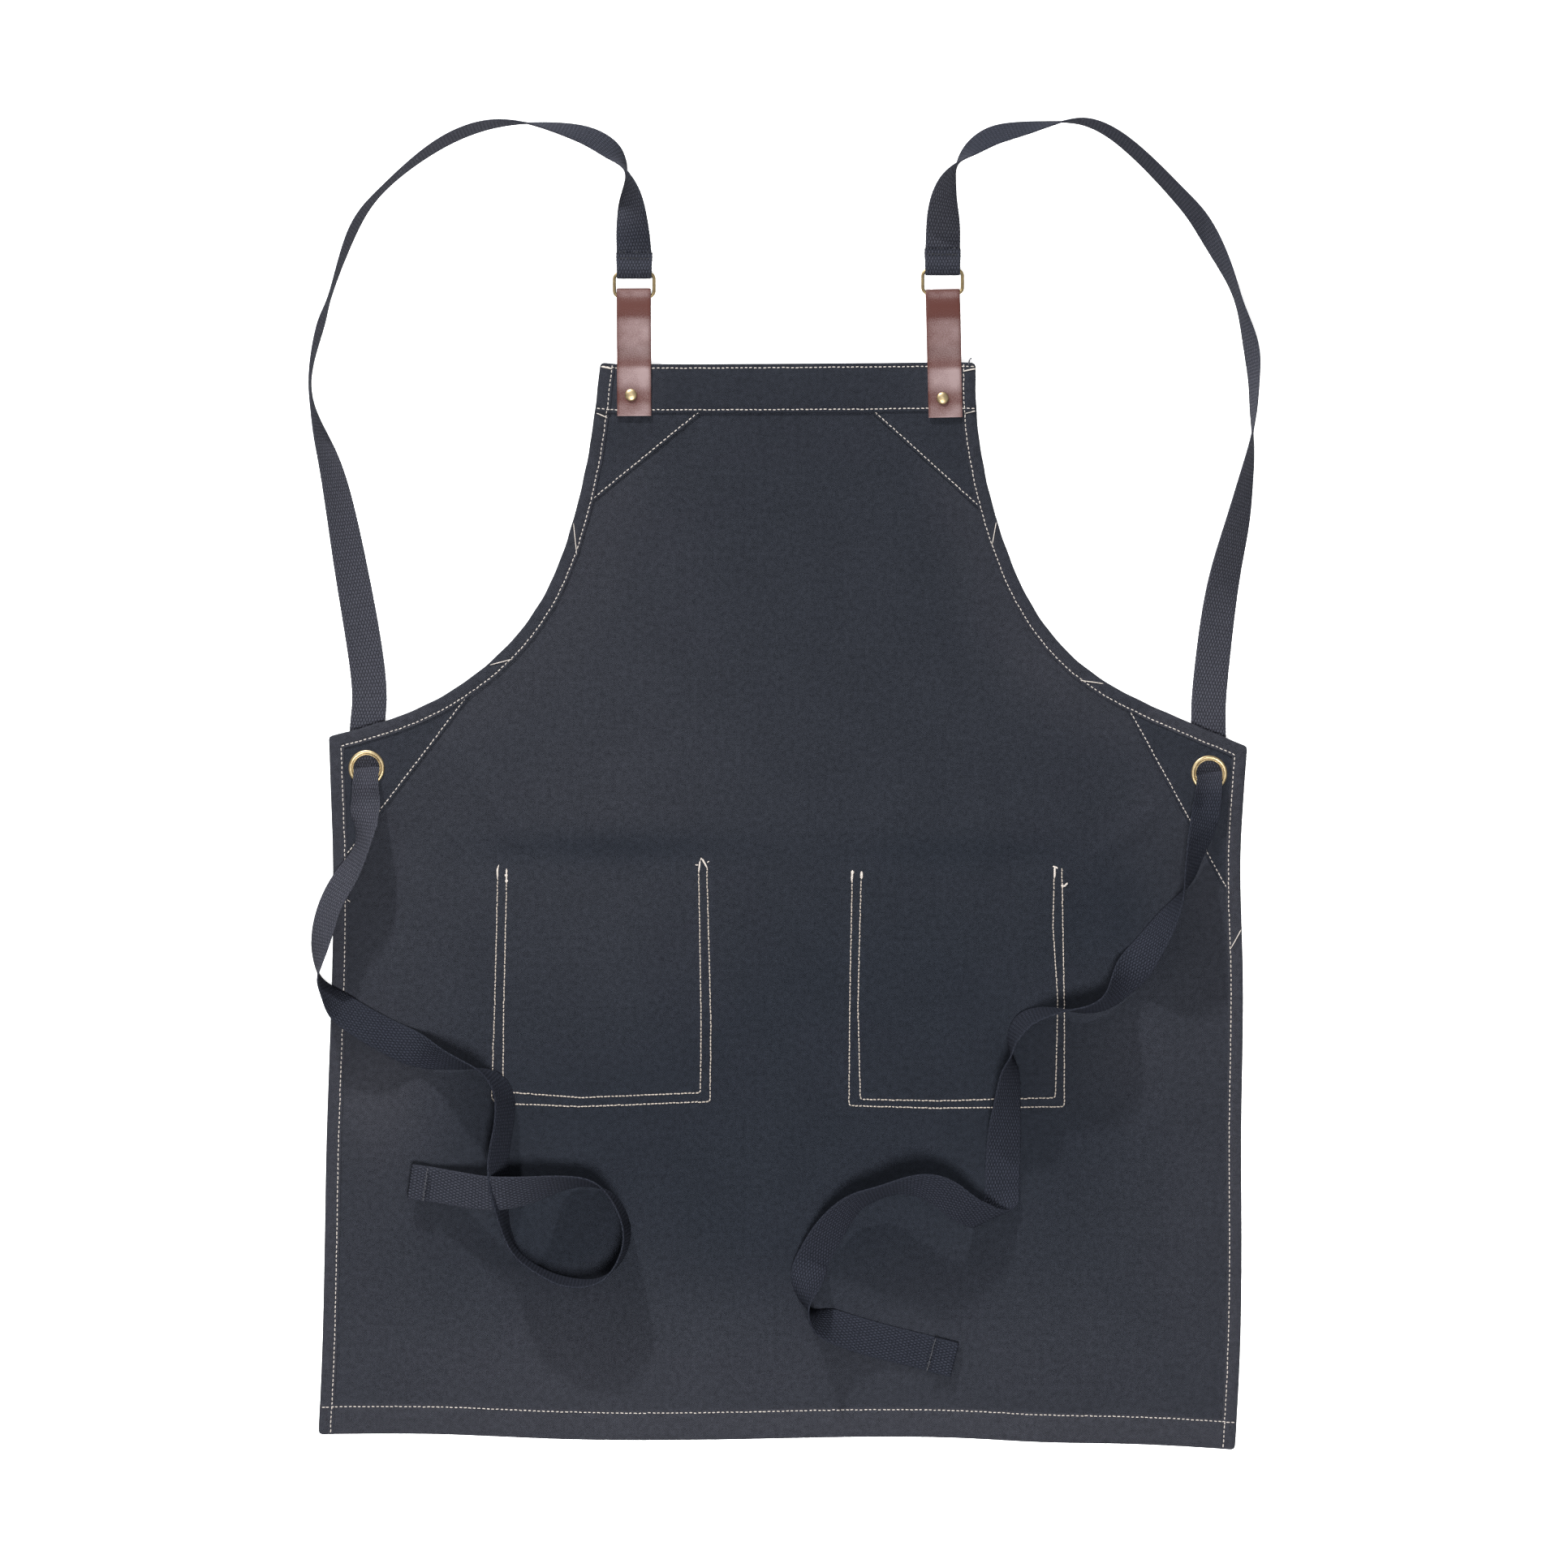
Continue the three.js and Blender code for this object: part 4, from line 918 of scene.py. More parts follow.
# A pocket cloth under the panel: level, doubled along its top edge, its edges rounded over
def makePocket(label, side):
    px, top = side["pocket"]
    width, height = pocket["width"], pocket["height"]
    fold = height - pocket["hem"]
    border = np.array([0, 0.25, 0.6, 1.1, 3.0, 5.0])
    xs = np.concatenate([border, np.linspace(9.0, width - 9.0, 36), width - border[::-1]])
    doubledRows = fold + np.array([-0.4, 0.0, 0.4, 4, 10, 16])
    ys = np.concatenate([border, np.linspace(9.0, fold - 4.0, 36), doubledRows, height - border[::-1]])
    points = np.stack(np.meshgrid(xs + px - width / 2, ys + top - height), axis=-1)
    gapX = np.minimum(xs, width - xs)
    gapY = np.minimum(ys, height - ys)
    share = np.minimum(edgeShare(gapX)[None], edgeShare(gapY)[:, None])
    doubled = softStep((ys - fold + 0.4) / 0.8)[:, None]
    thick = pocket["thick"] + pocket["hemThick"] * doubled * np.ones_like(share)
    under = cloth["lift"] - 0.1 + thick * (0.5 - 0.5 * share)
    upper = cloth["lift"] - 0.1 + thick * (0.5 + 0.5 * share)
    verts, quads, used = closedSheet(points, upper, under)
    uv = np.vstack([points.reshape(-1, 2)] * 2)[used]
    look = {"turned": np.full(len(verts), wearAndPaintedLight["even"])}
    node = f"pocket_{label}"
    return makeObject(f"pocket.{label}", verts, quads, twillMaterial, [node], uv, look)


pockets = [makePocket(label, side) for label, side in sides.items()]
print("patches and pockets made")


# Straps
# Routes of the webbing's middle as rows (x, y, tilt, z or None, bearing or None). Tilt turns the band
# about its run, in degrees: 0 is flat, positive lifts its right-hand edge. Without a bearing its width is
# square to the run.
loops = {
    "left": [
        (-111.5, 404, 13), (-113.2, 432, 50), (-116.5, 450, 90), (-126.0, 465, 126),
        (-143.5, 476.5, 131), (-165.0, 482.5, 118), (-188.5, 486, 101), (-216.5, 485, 87),
        (-253.5, 470.5, 85), (-295.5, 437, 93), (-317.5, 406, 86), (-334.5, 357, 95), (-340.3, 339, 88),
        (-348.3, 302, 95), (-346.2, 276, 89), (-340.0, 254.5, 71), (-332.2, 228, 53),
        (-319.4, 159.5, 26), (-309.6, 99.5, 8), (-306.4, 62, 0),
    ],
    "right": [
        (117.5, 408, -8), (118.0, 430, -38), (121.5, 444, -62), (127.5, 455.5, -92), (138.0, 467, -120),
        (153.5, 477, -131), (173.5, 482, -124), (197.0, 486, -106), (221.0, 487, -90), (251.8, 471, -81),
        (290.6, 433, -75), (304.6, 416.5, -70), (316.6, 396.5, -71), (328.6, 371.5, -83),
        (336.0, 350, -86), (343.6, 321, -73), (345.6, 296, -80), (345.2, 273, -88), (344.0, 250, -104),
        (340.0, 224, -121), (334.6, 195, -138), (326.4, 159.5, -155), (320.8, 127, -168),
        (316.6, 92, -176), (313.7, 58, -179),
    ],
}
tails = {
    "left": [
        (-307.8, -28, -38), (-310.8, -47.5, -58), (-321.4, -67, -45), (-332.6, -86.5, -43),
        (-339.2, -108.5, -46), (-342.6, -129.5, -66), (-341.1, -143.4, -90, 15.6),
        (-333.6, -154.2, -114), (-325.8, -164.4, -140), (-308.0, -177, -152), (-281.4, -191.5, -172),
        (-258.0, -201, -220), (-238.8, -206, -248), (-223.8, -210, -268), (-212.4, -217, -288),
        (-205.8, -230.5, -299), (-206.4, -252, -300), (-210.0, -275, -303), (-209.4, -298, -298),
        (-206.4, -319, -283), (-197.4, -343, -275), (-180.0, -357.5, -274), (-159.6, -366, -277),
        (-136.2, -365, -270), (-121.2, -351, -263), (-115.8, -328, -261), (-126.6, -303.5, -268),
        (-141.6, -294, -286), (-159.6, -293, -298), (-183.6, -297, -322, 20.5),
        (-211.0, -300, -350, 22.5), (-230.0, -299, -356, 17.0), (-250.0, -296.5, -360, 10.6),
        (-264.0, -294.5, -360, 7.2),
    ],
    "right": [
        (309.4, -27, -165), (303.2, -48, -132), (297.6, -69.5, -111), (292.4, -81.5, -90),
        (284.8, -94.5, -66), (277.2, -107, -50), (264.6, -126, -26), (249.0, -147, 35),
        (238.2, -159.5, 60), (222.6, -165.5, 75, 17.0), (205.2, -166.2, 90, 18.0),
        (181.2, -171, 111, 17.0), (172.2, -179, 112), (167.4, -189.5, 100), (166.8, -199, 86),
        (166.2, -211, 58), (164.4, -233, 38), (162.6, -255, 18), (161.6, -277, 4),
        (161.0, -292, 0, None, 181), (160.8, -303, -1, 2.4, 187), (159.3, -312, -4, 3.3, 193),
        (154.5, -319.5, -9, 4.7, 203), (149.4, -320.5, -14, 7.5, 211), (142.5, -317.1, -18, 11.5, 218),
        (133.2, -312.2, -20, 16.5, 226), (118.2, -300.5, 205, 22.5), (100.2, -294, 222, 25.5),
        (82.8, -295.2, 240, 24.5), (70.2, -299.4, 243, 20.5), (54.6, -306, 234, 17.0),
        (41.4, -318, 218, 12.5), (29.4, -335.5, 201, 7.5), (19.8, -355, 186), (15.6, -372.5, 130),
        (18.0, -387, 90), (29.5, -396, 42), (44.0, -402.5, 20), (70.2, -411, 4), (96.0, -417.6, 0),
        (108.6, -420.8, 0),
    ],
}
tipFold = {"length": {"left": 10.0, "right": 16.5}, "radius": 1.25, "straight": 2.0, "curl": 1.2}
sewnEnd = {"level": 10.0, "rise": 0.5, "slack": 1.2, "gap": 0.25, "wider": 1.04}

edgePoints = np.vstack([leftOuter, rightOuter, bottomEdge[::4]])


# Height of what a strap rests on at a place: floor, panel, hem or side patch
def supportTop(x, y):
    low = np.interp(x, bottomEdge[:, 0], bottomEdge[:, 1])
    left = np.interp(y, leftOuter[:, 1], leftOuter[:, 0])
    right = np.interp(y, rightOuter[:, 1], rightOuter[:, 0])
    inside = (x > left) & (x < right) & (y > low) & (y < sides["left"]["bib"][0][1])
    places = np.stack([x, y], axis=-1)
    nearest = np.full(x.shape, 1e9)
    for part in np.array_split(edgePoints, 12):
        nearest = np.minimum(nearest, np.linalg.norm(places[..., None, :] - part, axis=-1).min(axis=-1))
    hemmed = (nearest < cloth["sideHem"] + 1.0) | (y < low + cloth["bottomHem"] + 1.0)
    raised = np.where(hemmed, cloth["hem"] + cloth["swell"], 0.0)
    raised += (patch["thick"] + 0.1) * patchCover(x, y)
    return np.where(inside, clothTop(x, y) + raised, 0.0)


# The strap's row columns: x, y, tilt, z, bearing, cup, narrow; unset values are nan. Cup is the share of
# the width that the gathered band still spans, narrow a plain scale of it where it is out of sight.
def row(x, y, tilt=0.0, z=None, bearing=None, cup=1.0, narrow=1.0):
    return [x, y, tilt, np.nan if z is None else z, np.nan if bearing is None else bearing, cup, narrow]


# From the cut edge on top back to the ring, round its upper bar and out underneath
def ringFold(side):
    x, ringY = side["ring"]
    barY = ringY + (ring["height"] - ring["wire"]) / 2
    radius = ring["wire"] / 2 + 0.2 + webbing["thick"] / 2
    overlay = webbing["runZ"] + webbing["thick"] + sewnEnd["gap"]
    level, rise = sewnEnd["level"], sewnEnd["rise"]
    path = [(side["strapEnd"], overlay), (barY + level, overlay + rise)]
    path.append((barY + level / 3, ring["z"] + radius))
    for degrees in (90, 135, 180, 225):
        angle = math.radians(degrees)
        ahead = (radius + sewnEnd["slack"]) * math.cos(angle)
        path.append((barY + ahead, ring["z"] + radius * math.sin(angle)))
    path += [(barY + rise, webbing["runZ"]), (barY + level, webbing["runZ"])]
    wider = [sewnEnd["wider"]] * 2 + [1.0] * (len(path) - 2)
    return [row(x, y, 0.0, z, 0.0, 1.0, narrow) for (y, z), narrow in zip(path, wider)]


# Flat under the corner, gathered up through the bore and out over the lower rim
def threadEyelet(side):
    x, y = side["eyelet"]
    over = eyelet["top"] + 0.3 + webbing["thick"] / 2
    bearing = 180.0 + side["flip"]
    flat = webbing["runZ"]
    path = [
        (30.0, flat, 1.0, 1.0), (14.0, flat, 1.0, 1.0), (6.5, flat, 1.0, 0.95),
        (2.0, flat + 0.7, 0.99, 0.86), (-2.0, flat + 2.1, 0.97, 0.78), (-6.0, over - 1.9, 0.94, 0.76),
        (-10.5, over + 0.1, 0.92, 0.8), (-15.0, over + 0.3, 0.92, 0.83), (-24.0, over - 0.6, 0.95, 0.86),
    ]
    rows = []
    for ahead, z, cup, narrow in path:
        aside = side["lean"] * max(-5.0 - ahead, 0.0)
        rows.append(row(x + aside, y + ahead, 0.0, z, bearing, cup, narrow))
    return rows


# Over itself at the tip and a short way back on top
def foldTip(label):
    rows = tails[label]
    last, before = np.array(rows[-1][:2], float), np.array(rows[-2][:2], float)
    run = (last - before) / np.linalg.norm(last - before)
    given = rows[-1][3] if len(rows[-1]) > 3 else None
    base = given or float(supportTop(last[:1], last[1:])[0]) + webbing["rest"] + webbing["thick"] / 2
    bearing = math.degrees(math.atan2(-run[0], run[1]))
    length, radius, straight = tipFold["length"][label], tipFold["radius"], tipFold["straight"]
    path = [
        (length - straight, 0.0), (length, radius / 3), (length + radius, radius), (length, 2 * radius),
        (length - straight, 2 * radius), (2.5, 2 * radius + 0.2),
        (0.0, 2 * radius + tipFold["curl"]),
    ]
    return [row(*(last + run * ahead), 0.0, base + up, bearing) for ahead, up in path]


# Height of the band's middle when its lower edge or face rests on what is under it
def restHeight(middles, widths):
    half = webbing["width"] / 2
    shares = np.array([-1, -0.5, 0, 0.5, 1])[None, :, None]
    reach = middles[:, None, :2] + widths[:, None, :2] * half * shares
    support = supportTop(reach[..., 0], reach[..., 1]).max(axis=1)
    flat = np.hypot(widths[:, 0], widths[:, 1])
    return support + webbing["rest"] + half * np.abs(widths[:, 2]) + webbing["thick"] / 2 * flat


# Largest value, then the mean, over a window of stations
def softenUp(values, reach):
    padded = np.pad(values, reach, mode="edge")
    windows = np.lib.stride_tricks.sliding_window_view(padded, 2 * reach + 1)
    largest = np.pad(windows.max(axis=1), reach, mode="edge")
    return np.lib.stride_tricks.sliding_window_view(largest, 2 * reach + 1).mean(axis=1)


# Half angle of an arc whose chord is a given share of its length, from sin(a) / a
arcAngles = np.linspace(1e-3, 2.4, 400)
arcShares = np.sin(arcAngles) / arcAngles


# The band swept along its route. Across it c runs from -1 to 1 on an arc of half angle a, whose radius is
# half / a: sideways by radius sin(a c), upwards by radius (1 - cos(a c)), and out by half the thickness
# with rounded selvedges.
def makeStrap(label, side):
    tail = [row(*values) for values in tails[label]]
    for values, share in zip(tail, side["gather"]):
        values[6] = share
    loop = [row(*values) for values in loops[label]]
    sewn, bore, tip = ringFold(side), threadEyelet(side), foldTip(label)
    rows = np.array(sewn + loop + bore + tail + tip)
    ahead = np.vstack([rows[1:, :2], rows[-1:, :2]]) - np.vstack([rows[:1, :2], rows[:-1, :2]])
    square = np.arctan2(ahead[:, 1], ahead[:, 0]) - math.pi / 2
    bearing = np.where(np.isnan(rows[:, 4]), square, np.radians(rows[:, 4]))
    tilt = np.radians(rows[:, 2])
    level = np.cos(tilt)
    widths = np.stack([level * np.cos(bearing), level * np.sin(bearing), np.sin(tilt)], axis=-1)
    middles = np.column_stack([rows[:, :2], np.nan_to_num(rows[:, 3])])
    free = np.isnan(rows[:, 3])
    middles[free, 2] = restHeight(middles, widths)[free]
    knots = rootKnots(middles)
    fineKnots = np.linspace(0.0, knots[-1], 6000)
    fine = spline(knots, np.column_stack([middles, widths]), fineKnots)
    # Tone along the strap, partly fading and partly painted light and shade, with its own shares for the
    # sewn end, the loop, the bore and the tail
    loopFadeAndPaintedLight = np.interp(np.arange(len(loop)), *np.transpose(side["loopFadeAndPaintedLight"]))
    tailFadeAndPaintedLight = np.interp(np.arange(len(tail) + len(tip)), *np.transpose(side["tailFadeAndPaintedLight"]))
    sewnFade = np.full(len(sewn), webbing["sewnFade"])
    boreFade = np.linspace(webbing["boreFade"], tailFadeAndPaintedLight[0], len(bore))
    fadeAndPaintedLight = np.concatenate([sewnFade, loopFadeAndPaintedLight, boreFade, tailFadeAndPaintedLight])
    shares = [np.interp(fineKnots, knots, column) for column in (rows[:, 5], rows[:, 6], free * 1.0, fadeAndPaintedLight)]
    fine = np.column_stack([fine] + shares)
    length = runLength(fine[:, :3])
    at = np.linspace(0.0, length[-1], int(length[-1] / webbing["step"]))
    station = np.stack([np.interp(at, length, column) for column in fine.T], axis=-1)
    middle, width = station[:, :3], unit(station[:, 3:6])
    need = np.where(station[:, 8] > 0.99, restHeight(middle, width) - middle[:, 2], 0.0)
    middle[:, 2] += softenUp(np.maximum(need, 0.0), 7)
    run = unit(np.gradient(middle, axis=0))
    face = np.cross(width, run)
    skew = np.linalg.norm(face, axis=1, keepdims=True)
    face /= skew
    half = webbing["width"] / 2 * np.minimum(1.0 / skew, 1.12) * station[:, 7:8]
    angle = np.interp(np.clip(station[:, 6], 0.5, 1.0), arcShares[::-1], arcAngles[::-1])[:, None]
    c = np.array(
        [-1, -0.985, -0.94, -0.85, -0.68, -0.45, -0.2, 0.05, 0.3, 0.55, 0.75, 0.88, 0.955, 0.985, 1.0]
    )
    radius = half / angle
    scallop = webbing["scallop"] * np.sin(4 * math.pi * at / webbing["pick"])[:, None]
    sideways = radius * np.sin(angle * c[None]) + np.sign(c) * (np.abs(c) > 0.9) * scallop
    upwards = radius * (1.0 - np.cos(angle * c[None])) * np.where(face[:, 2:] < 0, -1.0, 1.0)
    rounded = webbing["thick"] / 2 * np.sqrt(np.maximum(1.0 - np.abs(c) ** 14, 0.0))
    bead = 1.0 + 0.12 * np.exp(-(((np.abs(c) - 0.93) / 0.05) ** 2))
    surfaces = []
    for facing, columns in ((1.0, slice(None)), (-1.0, slice(-2, 0, -1))):
        across = sideways[:, columns, None] * width[:, None]
        out = (upwards[:, columns] + facing * (rounded * bead)[None, columns])[..., None] * face[:, None]
        surfaces.append(middle[:, None] + across + out)
    section = np.concatenate(surfaces, axis=1)
    uvAcross = np.concatenate([c, c[-2:0:-1]]) * webbing["width"] / 2
    uv = np.stack(np.broadcast_arrays(uvAcross[None], at[:, None]), axis=-1).reshape(-1, 2)
    quads = bandQuads(len(at), len(c))
    print("strap", label, "length", round(float(at[-1])), "mm, top", round(float(section[..., 2].max()), 1))
    look = {"fadeAndPaintedLight": np.repeat(station[:, 9], section.shape[1])}
    points = section.reshape(-1, 3)
    node = f"strap_{label}"
    return makeObject(f"strap.{label}", points, quads, webbingMaterial, [node], uv, look)


straps = [makeStrap(label, side) for label, side in sides.items()]


# Leather tabs
# Pale bloom of the waxed leather, partly painted sheen, up the front of a tab as (share of the way up,
# strength): painted sheen on the crests, little in the creases where painted shade falls
bloomAndSheenUp = [
    (0.0, 0.66), (0.075, 0.58), (0.12, 0.24), (0.18, 0.3), (0.23, 0.72), (0.305, 1.02), (0.36, 0.82),
    (0.395, 0.2), (0.42, 0.18), (0.485, 0.45), (0.59, 0.66), (0.69, 0.72), (0.74, 0.56), (0.778, 0.11),
    (0.865, 0.015), (0.915, 0.12), (0.945, 0.45), (0.965, 0.45), (0.985, 0.05), (1.0, 0.0),
]


# The strip's middle line from its lower end behind the bib, round the ring's lower bar and back down over
# the bib, as (distance up the tab, height); the front run has the soft crest and crease of the real strip
def tabLine(side):
    tall = side["tab"]["top"] - side["tab"]["bottom"]
    edge = side["bib"][0][1] - side["tab"]["bottom"]
    behind = leather["back"]
    back = [(0.0, behind), (edge - 8.0, behind)]
    back += [(edge + 12.0, 1.45), (tall - 16.0, 1.15), (tall - 6.0, 1.05)]
    bend = [(tall - 1.6, 1.9), (tall - 0.8, ring["z"]), (tall - 1.7, 4.9)]
    front = [
        (tall - 4.0, 5.55), (tall - 7.0, 5.7), (tall - 10.0, 6.15), (tall - 18.0, 7.6),
        (tall - 22.0, 7.85), (tall - 32.0, 7.85), (tall - 42.0, 7.65), (edge + 7.0, 6.7),
        (edge + 2.0, 6.1), (edge - 2.0, 6.35), (edge - 6.0, 6.85), (edge - 9.0, 6.95),
        (edge - 18.0, 6.85), (edge - 26.0, 6.6), (edge - 32.0, 6.5), (0.0, 6.4),
    ]
    return np.array(back + bend + front)


# The strip swept along that line with rounded long edges, pressed in round the rivet by a bell and turned
# in its plan by a small angle
def makeTab(label, side):
    line = tabLine(side)
    knots = rootKnots(line)
    fine = spline(knots, line, np.linspace(0.0, knots[-1], 1500))
    middle = along(fine, np.linspace(0.0, runLength(fine)[-1], 190))
    at = runLength(middle)
    out = leftNormals(middle)
    c = np.array(
        [-1, -0.99, -0.965, -0.92, -0.8, -0.6, -0.4, -0.2, 0, 0.2, 0.4, 0.6, 0.8, 0.92, 0.965, 0.99, 1.0]
    )
    rounded = leather["thick"] / 2 * np.sqrt(np.maximum(1.0 - np.abs(c) ** 30, 0.0))
    turn = math.radians(side["tab"]["turn"])
    rivetX, rivetY = np.array(side["rivet"]) - (side["tab"]["x"], side["tab"]["bottom"])
    acrossRivet = rivetX * math.cos(turn) + rivetY * math.sin(turn)
    alongRivet = rivetY * math.cos(turn) - rivetX * math.sin(turn)
    surfaces = []
    for facing, columns in ((-1.0, slice(None)), (1.0, slice(-2, 0, -1))):
        across = c[columns] * leather["width"] / 2
        offset = facing * rounded[columns]
        y = middle[:, :1] + out[:, :1] * offset
        z = middle[:, 1:] + out[:, 1:] * offset
        front = softStep((middle[:, 1:] - 4.5) / 1.0)
        near = np.hypot(across[None] - acrossRivet, y - alongRivet)
        z = z - front * leather["dint"] * np.exp(-((near / leather["dintReach"]) ** 2))
        surfaces.append(np.stack([np.broadcast_to(across, y.shape), y, z], axis=-1))
    section = np.concatenate(surfaces, axis=1)
    x, y, z = section[..., 0], section[..., 1], section[..., 2]
    planX = side["tab"]["x"] + x * math.cos(turn) - y * math.sin(turn)
    planY = side["tab"]["bottom"] + x * math.sin(turn) + y * math.cos(turn)
    points = np.stack([planX, planY, z], axis=-1).reshape(-1, 3)
    shares = np.concatenate([c, c[-2:0:-1]])
    uvAcross = shares * leather["width"] / 2
    uv = np.stack(np.broadcast_arrays(uvAcross[None], at[:, None]), axis=-1).reshape(-1, 2)
    # Bloom and painted sheen: up the tab from the table, scaled for its lower and upper part, on the front
    # face only, weaker at the rounded long edges, with painted shade in the dint round the rivet and a
    # little lighter towards one edge
    upwards = np.array(bloomAndSheenUp)
    bloomAndSheen = np.interp(y / (side["tab"]["top"] - side["tab"]["bottom"]), upwards[:, 0], upwards[:, 1])
    low, high = side["bloomAndSheen"]
    bloomAndSheen *= low + (high - low) * softStep((y - 36.0) / 14.0)
    bloomAndSheen *= softStep((z - 5.0) / 0.5) * (1.0 - 0.65 * softStep((np.abs(shares) - 0.7) / 0.3))[None]
    near = np.hypot(x - acrossRivet - 1.0, y - alongRivet + 1.5)
    bloomAndSheen = bloomAndSheen * (1.0 - 0.85 * np.exp(-((near / 7.5) ** 2))) * (1.0 + 0.2 * shares[None])
    quads = bandQuads(len(at), len(c))[:, ::-1]
    node = f"leather_tab_{label}"
    look = {"bloomAndSheen": bloomAndSheen.ravel()}
    return makeObject(f"leatherTab.{label}", points, quads, leatherMaterial, [node], uv, look)


for label, side in sides.items():
    makeTab(label, side)
print("tabs made")


# Brass fittings
# A wire swept round a rectangle with round corners: the corner circle's angle leads, its middle jumps
# from corner to corner, and the sides bulge by a cosine
def makeRing(label, side):
    halfX = (ring["width"] - ring["wire"]) / 2
    halfY = (ring["height"] - ring["wire"]) / 2
    r = ring["corner"]
    turn = np.linspace(0.0, 2 * math.pi, 88, endpoint=False) + math.pi / 88
    x = (halfX - r) * np.sign(np.cos(turn)) + r * np.cos(turn)
    y = (halfY - r) * np.sign(np.sin(turn)) + r * np.sin(turn)
    bulge = 1.0 + 0.025 * np.cos(math.pi / 2 * np.clip(y / halfY, -1, 1))
    path = np.stack([x * bulge, y], axis=-1)
    closed = np.vstack([path, path[:1]])
    path = along(closed, np.linspace(0.0, runLength(closed)[-1], 160, endpoint=False))
    outward = -leftNormals(np.vstack([path[-1:], path, path[:1]]))[1:-1]
    around = np.linspace(0.0, 2 * math.pi, 16, endpoint=False)
    radius = ring["wire"] / 2
    flat = path[:, None] + outward[:, None] * (radius * np.cos(around))[None, :, None]
    z = np.broadcast_to(ring["z"] + radius * np.sin(around), flat.shape[:2])
    points = np.concatenate([flat + np.array(side["ring"]), z[..., None]], axis=-1).reshape(-1, 3)
    quads = gridQuads(len(path), len(around), True, True)
    node = f"strap_ring_{label}"
    return makeObject(f"strapRing.{label}", points, quads, antiqueMaterial, [node])


# A profile of (radius, height) turned about an upright axis; a closed profile makes a ring
def lathe(profile, centre, facets, closed):
    fine = np.array(profile, float)
    turn = np.linspace(0.0, 2 * math.pi, facets, endpoint=False)
    x = centre[0] + fine[:, :1] * np.cos(turn)
    y = centre[1] + fine[:, :1] * np.sin(turn)
    z = np.broadcast_to(fine[:, 1:], x.shape)
    return np.stack([x, y, z], axis=-1).reshape(-1, 3), gridQuads(len(fine), facets, closed, True)[:, ::-1]


# A barrel between a flat lower flange and an upper one whose profile is half a flattened circle
def makeEyelet(label, side):
    outer, bore, base, top = eyelet["outer"], eyelet["bore"], eyelet["base"], eyelet["top"]
    bulge = eyelet["bulge"]
    rim = top - bulge
    barrel = [(bore - 0.1, base), (outer, base), (outer, base + 0.9), (bore + 0.7, base + 1.0)]
    barrel += [(bore + 0.7, rim), (outer, rim)]
    turns = np.linspace(0.0, math.pi * 0.93, 14)
    middle = (outer + bore + 0.9) / 2
    flange = [(middle + (outer - middle) * math.cos(t), rim + bulge * math.sin(t) ** 0.8) for t in turns]
    lip = [(bore + 0.75, top - 0.75), (bore + 0.5, top - 0.42), (bore + 0.2, top - 0.45)]
    lip += [(bore, top - 0.8), (bore - 0.1, base + 0.6)]
    points, quads = lathe(barrel + flange + lip, side["eyelet"], 72, True)
    return makeObject(f"eyelet.{label}", points, quads, brightMaterial, [f"eyelet_{label}"])


rivet = {"radius": 4.5, "low": 6.75, "brim": 0.35, "rise": 2.0, "shank": 1.7}


# A flat back head, a shank, and a front head whose profile is a quarter ellipse
def makeRivet(label, side):
    radius, low, shank = rivet["radius"], rivet["low"], rivet["shank"]
    brim, rise = low + rivet["brim"], rivet["rise"]
    back = [(0.02, 0.05), (4.0, 0.05), (4.2, 0.3), (4.1, 1.0), (shank, 1.1), (shank, low)]
    head = [(radius - 0.2, low), (radius + 0.02, low + 0.15)]
    turns = np.linspace(0.0, math.pi / 2, 16)[:-1]
    head += [(radius * math.cos(t), brim + rise * math.sin(t)) for t in turns]
    points, quads = lathe(back + head + [(0.02, brim + rise)], side["rivet"], 40, False)
    return makeObject(f"rivet.{label}", points, quads, brightMaterial, [f"rivet_{label}"])


for label, side in sides.items():
    makeRing(label, side)
    makeEyelet(label, side)
    makeRivet(label, side)
print("fittings made")


# Stitches
thread = {
    "width": 0.77,
    "height": 0.56,
    "hemPitch": 3.4,
    "dash": 0.72,
    "ropePitch": 2.7,
    "ropeDash": 0.92,
    "ropeWidth": 0.92,
    "endRow": 4.3,
    "endPitch": 2.4,
    "endWidth": 1.0,
    "spacing": 0.12,
    "uneven": 0.07,
    "drift": 0.09,
    "slew": 0.08,
    "sink": 0.1,
    "endMargin": 1.6,
}

# Offsets of the random seed for each kind of stitch
seeds = {
    "hem": 0,
    "pocket": 20,
    "under": 30,
    "pocketUnder": 50,
    "loose": 60,
    "end": 90,
    "fray": 200,
    "dark": 500,
}


